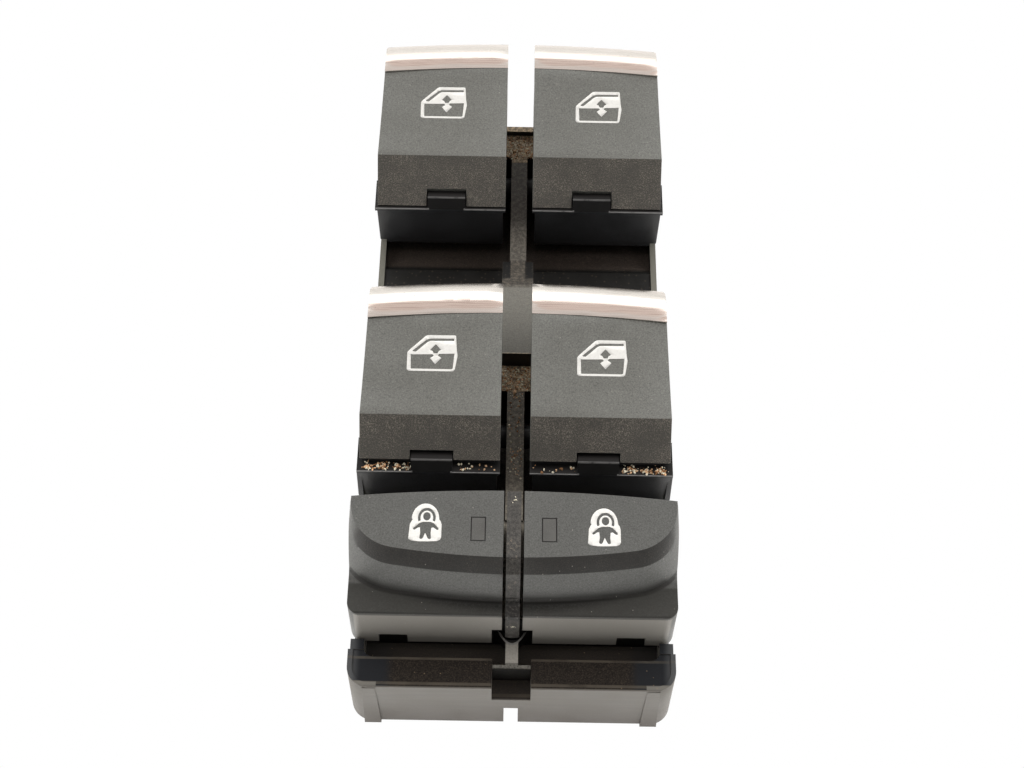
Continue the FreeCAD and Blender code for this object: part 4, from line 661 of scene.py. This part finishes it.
CHILD_SIGN = {
    "badge": [(0, 6), (3, 45), (8, 54), (11, 58)] + arc(50, 60, 42, 178, 2, 26)
             + [(93, 58), (97, 54), (100, 45), (100, 10), (97, 4), (88, 0.5), (60, -1), (30, -1), (8, 1.5)],
    "halo": arc(54, 63, 27, -22, 202, 24) + arc(54, 63, 19.5, 202, -22, 24),
    "head": arc(54, 67, 11.3, 0, 345, 22),
    "figure": rounded([(13, 34), (33, 48.5), (44, 52), (66, 52), (76, 48.5), (91, 35), (90, 30), (85, 31),
                       (75, 37), (69, 36), (67.5, 21), (69.5, 8), (66, 5), (60, 6.5), (51, 22), (43, 6),
                       (36, 5.5), (33.5, 9), (36, 22), (34.5, 37), (28, 36), (18, 30), (14, 31)], 1.5),
}
CHILD_SIGN_SIZE = (5.25, 6.6)
CHILD_SIGN_MIDDLES = {"left": (-14.2, 21.05), "right": (14.45, 20.7)}


def key_height(ahead):
    """Height of a near-row window key's scooped top, a hollow arc from its crease to its border."""
    crease, border = Vector((41.2, 32.0)), Vector((59.3, 35.8))
    radius = 130.0
    along = (border - crease).normalized()
    half = (border - crease).length / 2
    across = Vector((-along.y, along.x))
    centre = (crease + border) / 2 + across * math.sqrt(radius * radius - half * half)
    return centre.y - math.sqrt(radius * radius - (ahead - centre.x) ** 2)


def lock_height(ahead):
    """Height of a child lock key's top, which is level."""
    return LOCK_TOP


def sign_mesh(sign, middle, size, height, lift):
    """A printed sign at its place on a key."""
    loops = [[(middle[0] + (u / 100 - 0.5) * size[0], middle[1] + (v / 100 - 0.5) * size[1])
              for u, v in outline] for outline in sign.values()]
    return drape(loops, height, lift)


# Settings

class SwitchLookSettings(bpy.types.PropertyGroup):
    key_colour: FloatVectorProperty(
        name="Window keys", description="Paint of the four window keys", size=4, min=0.0, max=1.0,
        default=linear(110, 111, 107), subtype="COLOR")
    # The child lock keys' paint is darker than the window keys' paint: painted shade
    lock_shaded_colour: FloatVectorProperty(
        name="Child lock keys", description="Paint of the two child lock keys", size=4, min=0.0, max=1.0,
        default=linear(86, 87, 85), subtype="COLOR")
    sign_colour: FloatVectorProperty(
        name="Signs", description="Ink of the printed signs", size=4, min=0.0, max=1.0,
        default=linear(243, 243, 240), subtype="COLOR")
    base_colour: FloatVectorProperty(
        name="Base", description="Plastic of the base", size=4, min=0.0, max=1.0,
        default=linear(98, 95, 89), subtype="COLOR")
    edge_radius: FloatProperty(
        name="Edge radius", description="How far sharp moulded edges are rounded",
        default=0.22 * MM, min=0.0, max=MM, precision=5, subtype="DISTANCE", unit="LENGTH")
    trim_radius: FloatProperty(
        name="Trim edge radius", description="How far the edges of the bright trims are rounded",
        default=0.12 * MM, min=0.0, max=MM, precision=5, subtype="DISTANCE", unit="LENGTH")
    sign_lift: FloatProperty(
        name="Print lift", description="How far the printed signs stand above the keys",
        default=0.02 * MM, min=0.0, max=0.2 * MM, precision=5, subtype="DISTANCE", unit="LENGTH")
    crumb_count: IntProperty(
        name="Crumbs", description="Crumbs of dirt on the pads between the keys", default=900, min=0)
    gap_crumbs: IntProperty(
        name="Gap crumbs", description="Crumbs on the flange of each near-row rocker", default=150, min=0)
    seed: IntProperty(name="Seed", description="Which scatter of crumbs is used", default=7)


class SwitchStageSettings(bpy.types.PropertyGroup):
    focal_length: FloatProperty(
        name="Focal length", description="Lens of the camera, in millimetres", default=61.523,
        unit="CAMERA")
    distance: FloatProperty(
        name="Distance", description="Camera to the point that it looks at", default=0.308318,
        subtype="DISTANCE", unit="LENGTH")
    elevation: FloatProperty(
        name="Elevation", description="Angle of the camera above the table",
        default=math.radians(58.001), subtype="ANGLE", unit="ROTATION")
    azimuth: FloatProperty(
        name="Azimuth", description="Angle of the camera round the switch",
        default=math.radians(-0.199), subtype="ANGLE", unit="ROTATION")
    roll: FloatProperty(
        name="Roll", description="Tilt of the picture", default=math.radians(1.143),
        subtype="ANGLE", unit="ROTATION")
    aim: FloatVectorProperty(
        name="Aim", description="Point that the camera looks at", size=3,
        default=point(0.0, 55.0, 20.0), subtype="TRANSLATION", unit="LENGTH")
    shift: FloatProperty(
        name="Shift", description="How far the picture is moved sideways, as a share of its width",
        default=-0.003976)
    back_glow: FloatProperty(
        name="Arch", description="Brightness of the arch behind and beside the switch",
        default=2.1, min=0.0)
    low_glow: FloatProperty(
        name="Backdrop", description="Brightness of the backdrop low behind the switch",
        default=1.05, min=0.0)
    top_glow: FloatProperty(
        name="Overhead", description="Brightness of the dim surroundings overhead",
        default=0.8, min=0.0)
    front_glow: FloatProperty(
        name="Camera side", description="Brightness of the dark side where the camera stands",
        default=0.2, min=0.0)
    table_glow: FloatProperty(
        name="Table bounce", description="Light that the table sends back up", default=0.85, min=0.0)
    lamp_power: FloatProperty(
        name="Side lamps", description="Power of the soft lamp on each side", default=1.0, min=0.0,
        subtype="POWER", unit="POWER")


# Operators: one for each piece or group of like pieces

class SWITCH_OT_keys(bpy.types.Operator):
    """Paints the four window keys."""
    bl_idname = "switch.keys"
    bl_label = "Paint window keys"

    def execute(self, context):
        look = context.scene.switch_look
        satin = key_paint("key_paint", tuple(look.key_colour), lower_painted_shade=linear(70, 68, 64),
                          plate_dust_and_shade=linear(50, 49, 46), dust=0.9)
        dress([f"{window}_key" for window in WINDOWS], satin, look.edge_radius)
        return {"FINISHED"}


class SWITCH_OT_locks(bpy.types.Operator):
    """Paints the two child lock keys."""
    bl_idname = "switch.locks"
    bl_label = "Paint child lock keys"

    def execute(self, context):
        look = context.scene.switch_look
        # Darker tones than the window keys get, as painted shade
        satin = key_paint("lock_paint_shaded", tuple(look.lock_shaded_colour), lower_painted_shade=linear(36, 35, 34),
                          plate_dust_and_shade=linear(16, 16, 15), dust=0.12)
        dress([f"child_lock_{side}_key" for side, _ in SIDES], satin, look.edge_radius, angle=15)
        return {"FINISHED"}


class SWITCH_OT_trims(bpy.types.Operator):
    """Gives the arched trims their brushed bright finish."""
    bl_idname = "switch.trims"
    bl_label = "Brush trims"

    def execute(self, context):
        radius = context.scene.switch_look.trim_radius
        dress([f"{window}_trim" for window in WINDOWS], bright_trim(), radius)
        return {"FINISHED"}


class SWITCH_OT_housing(bpy.types.Operator):
    """Finishes the base, the frame and the centre strip."""
    bl_idname = "switch.housing"
    bl_label = "Finish housing"

    def execute(self, context):
        look = context.scene.switch_look
        dress(["base_housing"], base_plastic(tuple(look.base_colour)), look.edge_radius)
        dress(["key_frame"], frame_plastic(), look.edge_radius)
        dress(["centre_strip"], strip_plastic(), look.edge_radius)
        return {"FINISHED"}


class SWITCH_OT_rockers(bpy.types.Operator):
    """Finishes the rockers, and squares the lower outer corners of the rear ones."""
    bl_idname = "switch.rockers"
    bl_label = "Finish rockers"

    def execute(self, context):
        dark = rocker_plastic()
        radius = context.scene.switch_look.edge_radius * 0.7
        dress([f"{window}_rocker" for window in WINDOWS], dark, radius)
        outline = ((25.8, 24.8), (26.5, 24.8), (26.68, 16.8), (26.1, 14.8), (25.8, 14.8))
        near, far = ROCKER_NEAR + 0.15, ROCKER_NEAR + 0.9
        for side, sign in SIDES:
            corner = slab(*([(sign * x, y, z) for x, z in outline] for y in (near, far)))
            mesh_object(f"rear_{side}_corner", corner, dark, f"rear_{side}_window", smooth=False)
        return {"FINISHED"}


class SWITCH_OT_catch(bpy.types.Operator):
    """Finishes the catch, and adds the U-shaped rim where its stem ends."""
    bl_idname = "switch.catch"
    bl_label = "Finish catch"

    def execute(self, context):
        catch = catch_plastic()
        dress(["front_catch"], catch, context.scene.switch_look.edge_radius)
        outer = self.curve(half=2.4, near=7.8, bend=0.42)
        inner = self.curve(half=1.92, near=8.12, bend=0.5)
        outline = outer + inner[::-1]
        rim = slab(*([(x, y, z) for x, y in outline] for z in (CATCH_TOP - 0.3, CATCH_TOP + 0.1)))
        mesh_object("catch_rim", rim, catch, "housing", smooth=False)
        return {"FINISHED"}

    def curve(self, half, near, bend, steps=16):
        """Points along one edge of the rim, from left to right."""
        places = [half * (2 * i / steps - 1) for i in range(steps + 1)]
        return [(x, near + bend * x * x) for x in places]


class SWITCH_OT_board(bpy.types.Operator):
    """Finishes the circuit board and what it carries."""
    bl_idname = "switch.board"
    bl_label = "Finish board"

    def execute(self, context):
        dress(["circuit_board"], board_laminate())
        dress(["connector_shell"], moulded("connector_plastic", linear(38, 38, 38), 0.5))
        dress(["connector_pins"], metal("contact_metal", linear(214, 182, 112), 0.28))
        dress(["board_screws"], metal("screw_steel", linear(170, 170, 174), 0.32))
        dress(["push_switches"], moulded("switch_plastic", linear(48, 48, 50), 0.45))
        dress(["lamps"], moulded("lamp_plastic", linear(226, 218, 176), 0.25, grain=0.05))
        natural = moulded("slider_plastic", linear(206, 202, 188), 0.4)
        dress([f"{window}_slider" for window in WINDOWS], natural)
        return {"FINISHED"}


class SWITCH_OT_lights(bpy.types.Operator):
    """Finishes the light guides and the indicator lenses."""
    bl_idname = "switch.lights"
    bl_label = "Finish lights"

    def execute(self, context):
        guide = clear_plastic("guide_plastic", linear(236, 240, 242), 0.12)
        lens = moulded("lens_plastic", linear(84, 84, 82), 0.36, grain=0.15)
        dress([f"light_guide_{side}" for side, _ in SIDES], guide)
        dress([f"indicator_{side}_lens" for side, _ in SIDES], lens)
        return {"FINISHED"}


class SWITCH_OT_springs(bpy.types.Operator):
    """Finishes the rocker springs, and makes shorter leaves under the child lock keys."""
    bl_idname = "switch.springs"
    bl_label = "Finish springs"

    def execute(self, context):
        steel = metal("spring_steel", linear(178, 180, 184), 0.26)
        dress([f"{window}_spring" for window in WINDOWS], steel)
        for side, _ in SIDES:
            dress([f"child_lock_{side}_spring"], steel)
            self.leaf(side, steel)
        return {"FINISHED"}

    def leaf(self, side, steel):
        """A child lock spring, a little shorter."""
        press, shorter = 1.25 * MM, 0.93
        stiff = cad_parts[f"child_lock_{side}_spring"]
        foot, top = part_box(stiff.name)
        mesh = stiff.data.copy()
        mesh.materials.clear()
        middle = (foot[1] + top[1]) / 2
        for v in mesh.vertices:
            v.co.y = middle + (v.co.y - middle) * shorter
        leaf = mesh_object(f"{side}_leaf", mesh, steel, "housing", smooth=False)
        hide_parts(stiff.name)
        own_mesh(leaf)


class SWITCH_OT_signs(bpy.types.Operator):
    """Prints the window and child pictograms on the keys."""
    bl_idname = "switch.signs"
    bl_label = "Print signs"

    def execute(self, context):
        look = context.scene.switch_look
        lift = look.sign_lift / MM
        colour = ink("white_ink", tuple(look.sign_colour))
        for row, row_place in ROWS:
            for side, middle in WINDOW_SIGN_MIDDLES.items():
                mesh = sign_mesh(WINDOW_SIGN, middle, WINDOW_SIGN_SIZE, key_height, lift)
                mesh.transform(Matrix.Translation((0, row_place * MM, 0)))
                mesh_object(f"{row}_{side}_sign", mesh, colour, f"{row}_{side}_window")
        for side, middle in CHILD_SIGN_MIDDLES.items():
            mesh = sign_mesh(CHILD_SIGN, middle, CHILD_SIGN_SIZE, lock_height, lift)
            mesh_object(f"child_lock_{side}_sign", mesh, colour, f"child_lock_{side}")
        return {"FINISHED"}


class SWITCH_OT_dirt(bpy.types.Operator):
    """Scatters crumbs of dirt where the keys and the frame collect them."""
    bl_idname = "switch.dirt"
    bl_label = "Scatter dirt"

    # Where crumbs lie on the frame: weight, near end, far end, and how far to each side
    PADS = ((0.45, 105.8, 111.2, 2.6), (0.4, 53.6, 58.6, 2.6), (0.15, 36.0, 53.6, 1.2))
    PAD_HEIGHT = 20.0
    # Where they gather on each flange: weight, middle and spread across
    HEAPS = {"left": ((6, -22.4, 0.8), (3, -24.7, 0.4), (3, -19.7, 0.5), (3, -17.9, 0.6), (1, -9.0, 1.4),
                      (1, -6.0, 1.6)),
             "right": ((1, 5.5, 1.8), (1, 8.6, 1.0), (4, 19.4, 0.8), (5, 22.3, 1.0), (4, 24.4, 0.6))}
    FLANGE_HEIGHT = 25.35
    FLANGE_HALF = 26.0
    # One large crumb, and two clusters of specks on the centre strip, each a middle and its spreads
    BLOB, BLOB_SIZE = (-0.2, 53.2, 20.2), 0.5
    CLUSTERS = (((0.05, 8.4, 20.3), (0.35, 0.0, 0.12)), ((0.1, 25.4, 32.0), (0.22, 0.22, 0.0)))
    CLUSTER_COUNT = 9
    # Sizes: smallest, largest and, for crumbs, most common
    SPECK_SIZES = (0.05, 0.13)
    PAD_SIZES = (0.05, 0.26, 0.09)
    GAP_SIZES = (0.05, 0.36, 0.09)

    def execute(self, context):
        look = context.scene.switch_look
        rng = random.Random(look.seed)
        colours = (("brown", moulded("crumb_brown", linear(138, 100, 66), 0.8, variation=0.5)),
                   ("sand", moulded("crumb_sand", linear(222, 184, 146), 0.8, variation=0.3)),
                   ("pale", moulded("crumb_pale", linear(236, 230, 208), 0.75, variation=0.15)))
        for name, material in colours:
            grains = self.on_pads(rng, look.crumb_count // len(colours))
            if name == "sand":
                grains.append((point(*self.BLOB), self.BLOB_SIZE * MM))
            if name == "pale":
                grains += self.on_strip(rng)
            mesh = crumb_mesh(f"pad_{name}", grains, look.seed)
            mesh_object(f"pad_{name}", mesh, material, "housing", smooth=False)
            for side, _ in SIDES:
                grains = self.on_flange(rng, self.HEAPS[side], look.gap_crumbs // len(colours))
                mesh = crumb_mesh(f"gap_{name}_{side}", grains, look.seed + 1)
                mesh_object(f"gap_{name}_{side}", mesh, material, f"rear_{side}_window", smooth=False)
        return {"FINISHED"}

    def on_pads(self, rng, count):
        grains = []
        for _ in range(count):
            _, near, far, half = rng.choices(self.PADS, [pad[0] for pad in self.PADS])[0]
            place = point(rng.uniform(-half, half), rng.uniform(near, far), self.PAD_HEIGHT)
            grains.append((place, rng.triangular(*self.PAD_SIZES) * MM))
        return grains

    def on_strip(self, rng):
        grains = []
        for middle, spread in self.CLUSTERS:
            for _ in range(self.CLUSTER_COUNT):
                place = point(*(rng.gauss(m, s) for m, s in zip(middle, spread)))
                grains.append((place, rng.uniform(*self.SPECK_SIZES) * MM))
        return grains

    def on_flange(self, rng, heaps, count):
        grains = []
        for _ in range(count):
            _, middle, spread = rng.choices(heaps, [heap[0] for heap in heaps])[0]
            across = max(-self.FLANGE_HALF, min(self.FLANGE_HALF, rng.gauss(middle, spread)))
            depth = rng.triangular(ROCKER_NEAR + 0.2, ROCKER_NEAR + 2.1, ROCKER_NEAR + 0.6)
            size = rng.triangular(*self.GAP_SIZES) * MM
            grains.append((point(across, depth, self.FLANGE_HEIGHT), size))
        return grains


class SWITCH_OT_stage(bpy.types.Operator):
    """Sets up the table, the lights and the camera."""
    bl_idname = "switch.stage"
    bl_label = "Set stage"

    def execute(self, context):
        stage = context.scene.switch_stage
        self.table(stage)
        self.surroundings(context.scene, stage)
        for name, side in SIDES:
            self.lamp(context.scene, f"{name}_lamp", side, stage.lamp_power)
        self.camera(context.scene, stage)
        context.scene.view_settings.view_transform = "Standard"
        return {"FINISHED"}

    def table(self, stage):
        """White paper, a hair below the feet, that bounces more light near the camera."""
        half, drop, ripple, waves, cells = 1.6, 0.0002, 0.00004, 9, 24
        bm = bmesh.new()
        bmesh.ops.create_grid(bm, x_segments=cells, y_segments=cells, size=half)
        for v in bm.verts:
            v.co.z = -drop + ripple * noise.noise(v.co * waves)
        n = Nodes("table_paper")
        grain = n.noise(900.0, detail=4.0)
        tone = n.mix(n.drift(grain), (0.86, 0.85, 0.84, 1.0), (0.9, 0.9, 0.89, 1.0))
        glow = n.ramp(n.axis("Y"), 0.02, 0.08, stage.table_glow, stage.table_glow * 0.12)
        n.set(Base_Color=tone, Roughness=0.9, Normal=n.bump(grain, 0.05),
              Emission_Color=(1.0, 0.99, 0.97, 1.0), Emission_Strength=glow)
        white = n.add("ShaderNodeEmission", {"Color": WHITE, "Strength": 1.0})["Emission"]
        self.white_to_camera(n, n.shader.outputs["BSDF"], white, "Material Output")
        mesh_object("table", finished(bm, "table"), n.material)

    def surroundings(self, scene, stage):
        """A bright arch behind and beside, dimmer overhead, and dark where the camera stands."""
        world = bpy.data.worlds.new("studio")
        world.use_nodes = True
        scene.world = world
        n = Nodes("studio", world)
        height = n.axis("Z")
        reach = n.ramp(n.plus(n.axis("Y"), n.times(n.sideways(), 0.6)), -0.1, 0.3)
        arch_foot, arch_top = (0.27, 0.36), (0.66, 0.8)
        arch = n.times(reach, n.ramp(height, *arch_foot), n.ramp(height, *arch_top[::-1]))
        low = n.times(reach, n.ramp(height, *arch_foot[::-1]))
        sky = n.mix(low, shade((1.0, 0.91, 0.86), stage.top_glow), shade((1.0, 0.99, 0.95), stage.low_glow))
        sky = n.over(sky, shade((1.0, 1.0, 0.98), stage.back_glow), arch)
        sky = n.over(sky, shade((1.0, 0.97, 0.94), stage.front_glow), n.ramp(n.axis("Y"), -0.1, -0.5))
        dim = n.tree.nodes["Background"]
        n.fill(dim.inputs, {"Color": sky})
        white = n.add("ShaderNodeBackground", {"Color": WHITE})["Background"]
        self.white_to_camera(n, dim.outputs["Background"], white, "World Output")

    def white_to_camera(self, n, lit, white, output):
        """Shows plain white to the camera, and lights the switch as before."""
        seen = n.add("ShaderNodeLightPath")["Is Camera Ray"]
        blend = n.add("ShaderNodeMixShader", {"Fac": seen, 1: lit, 2: white})["Shader"]
        n.fill(n.tree.nodes[output].inputs, {"Surface": blend})

    def lamp(self, scene, name, side, power):
        """A soft lamp to one side, turned to the switch."""
        place, target = Vector((side * 0.6, 0.1, 0.5)), Vector((0, 0, 0.02))
        data = bpy.data.lights.new(name, "AREA")
        data.shape = "RECTANGLE"
        data.size, data.size_y = 0.5, 0.4
        data.energy = power
        data.color = (1.0, 0.99, 0.96)
        obj = bpy.data.objects.new(name, data)
        obj.location = place
        obj.rotation_euler = (target - place).to_track_quat("-Z", "Y").to_euler()
        obj.visible_camera = False
        scene.collection.objects.link(obj)

    def camera(self, scene, stage):
        el, az, roll = stage.elevation, stage.azimuth, stage.roll
        back = Vector((math.sin(az) * math.cos(el), -math.cos(az) * math.cos(el), math.sin(el)))
        right = Vector((math.cos(az), math.sin(az), 0))
        up = back.cross(right)
        across = right * math.cos(roll) + up * math.sin(roll)
        upward = up * math.cos(roll) - right * math.sin(roll)
        data = bpy.data.cameras.new("camera")
        data.sensor_width = 36.0
        data.lens = stage.focal_length
        data.shift_x = stage.shift
        data.clip_start = 0.01
        obj = bpy.data.objects.new("camera", data)
        place = Vector(stage.aim) + back * stage.distance
        turn = Matrix((across, upward, back)).transposed().to_4x4()
        obj.matrix_world = Matrix.Translation(place) @ turn
        scene.collection.objects.link(obj)
        scene.camera = obj


class SWITCH_PT_panel(bpy.types.Panel):
    """Settings and steps of the window switch."""
    bl_idname = "SWITCH_PT_panel"
    bl_label = "Window switch"
    bl_space_type = "VIEW_3D"
    bl_region_type = "UI"
    bl_category = "Switch"

    def draw(self, context):
        self.list_settings(context.scene.switch_look)
        for step in STEPS:
            self.layout.operator(step.bl_idname)
        self.list_settings(context.scene.switch_stage)

    def list_settings(self, group):
        for name in group.__annotations__:
            self.layout.prop(group, name)


STEPS = (SWITCH_OT_keys, SWITCH_OT_locks, SWITCH_OT_trims, SWITCH_OT_housing, SWITCH_OT_rockers,
         SWITCH_OT_catch, SWITCH_OT_board, SWITCH_OT_lights, SWITCH_OT_springs, SWITCH_OT_signs,
         SWITCH_OT_dirt, SWITCH_OT_stage)
CLASSES = (SwitchLookSettings, SwitchStageSettings) + STEPS + (SWITCH_PT_panel,)


def register():
    for cls in CLASSES:
        bpy.utils.register_class(cls)
    bpy.types.Scene.switch_look = PointerProperty(type=SwitchLookSettings)
    bpy.types.Scene.switch_stage = PointerProperty(type=SwitchStageSettings)


def unregister():
    del bpy.types.Scene.switch_stage
    del bpy.types.Scene.switch_look
    for cls in reversed(CLASSES):
        bpy.utils.unregister_class(cls)


def main():
    register()
    steps = bpy.ops.switch
    for step in (steps.keys, steps.locks, steps.trims, steps.housing, steps.rockers, steps.catch,
                 steps.board, steps.lights, steps.springs, steps.signs, steps.dirt, steps.stage):
        if step() != {"FINISHED"}:
            raise RuntimeError("a step did not finish")


if __name__ == "__main__":
    main()
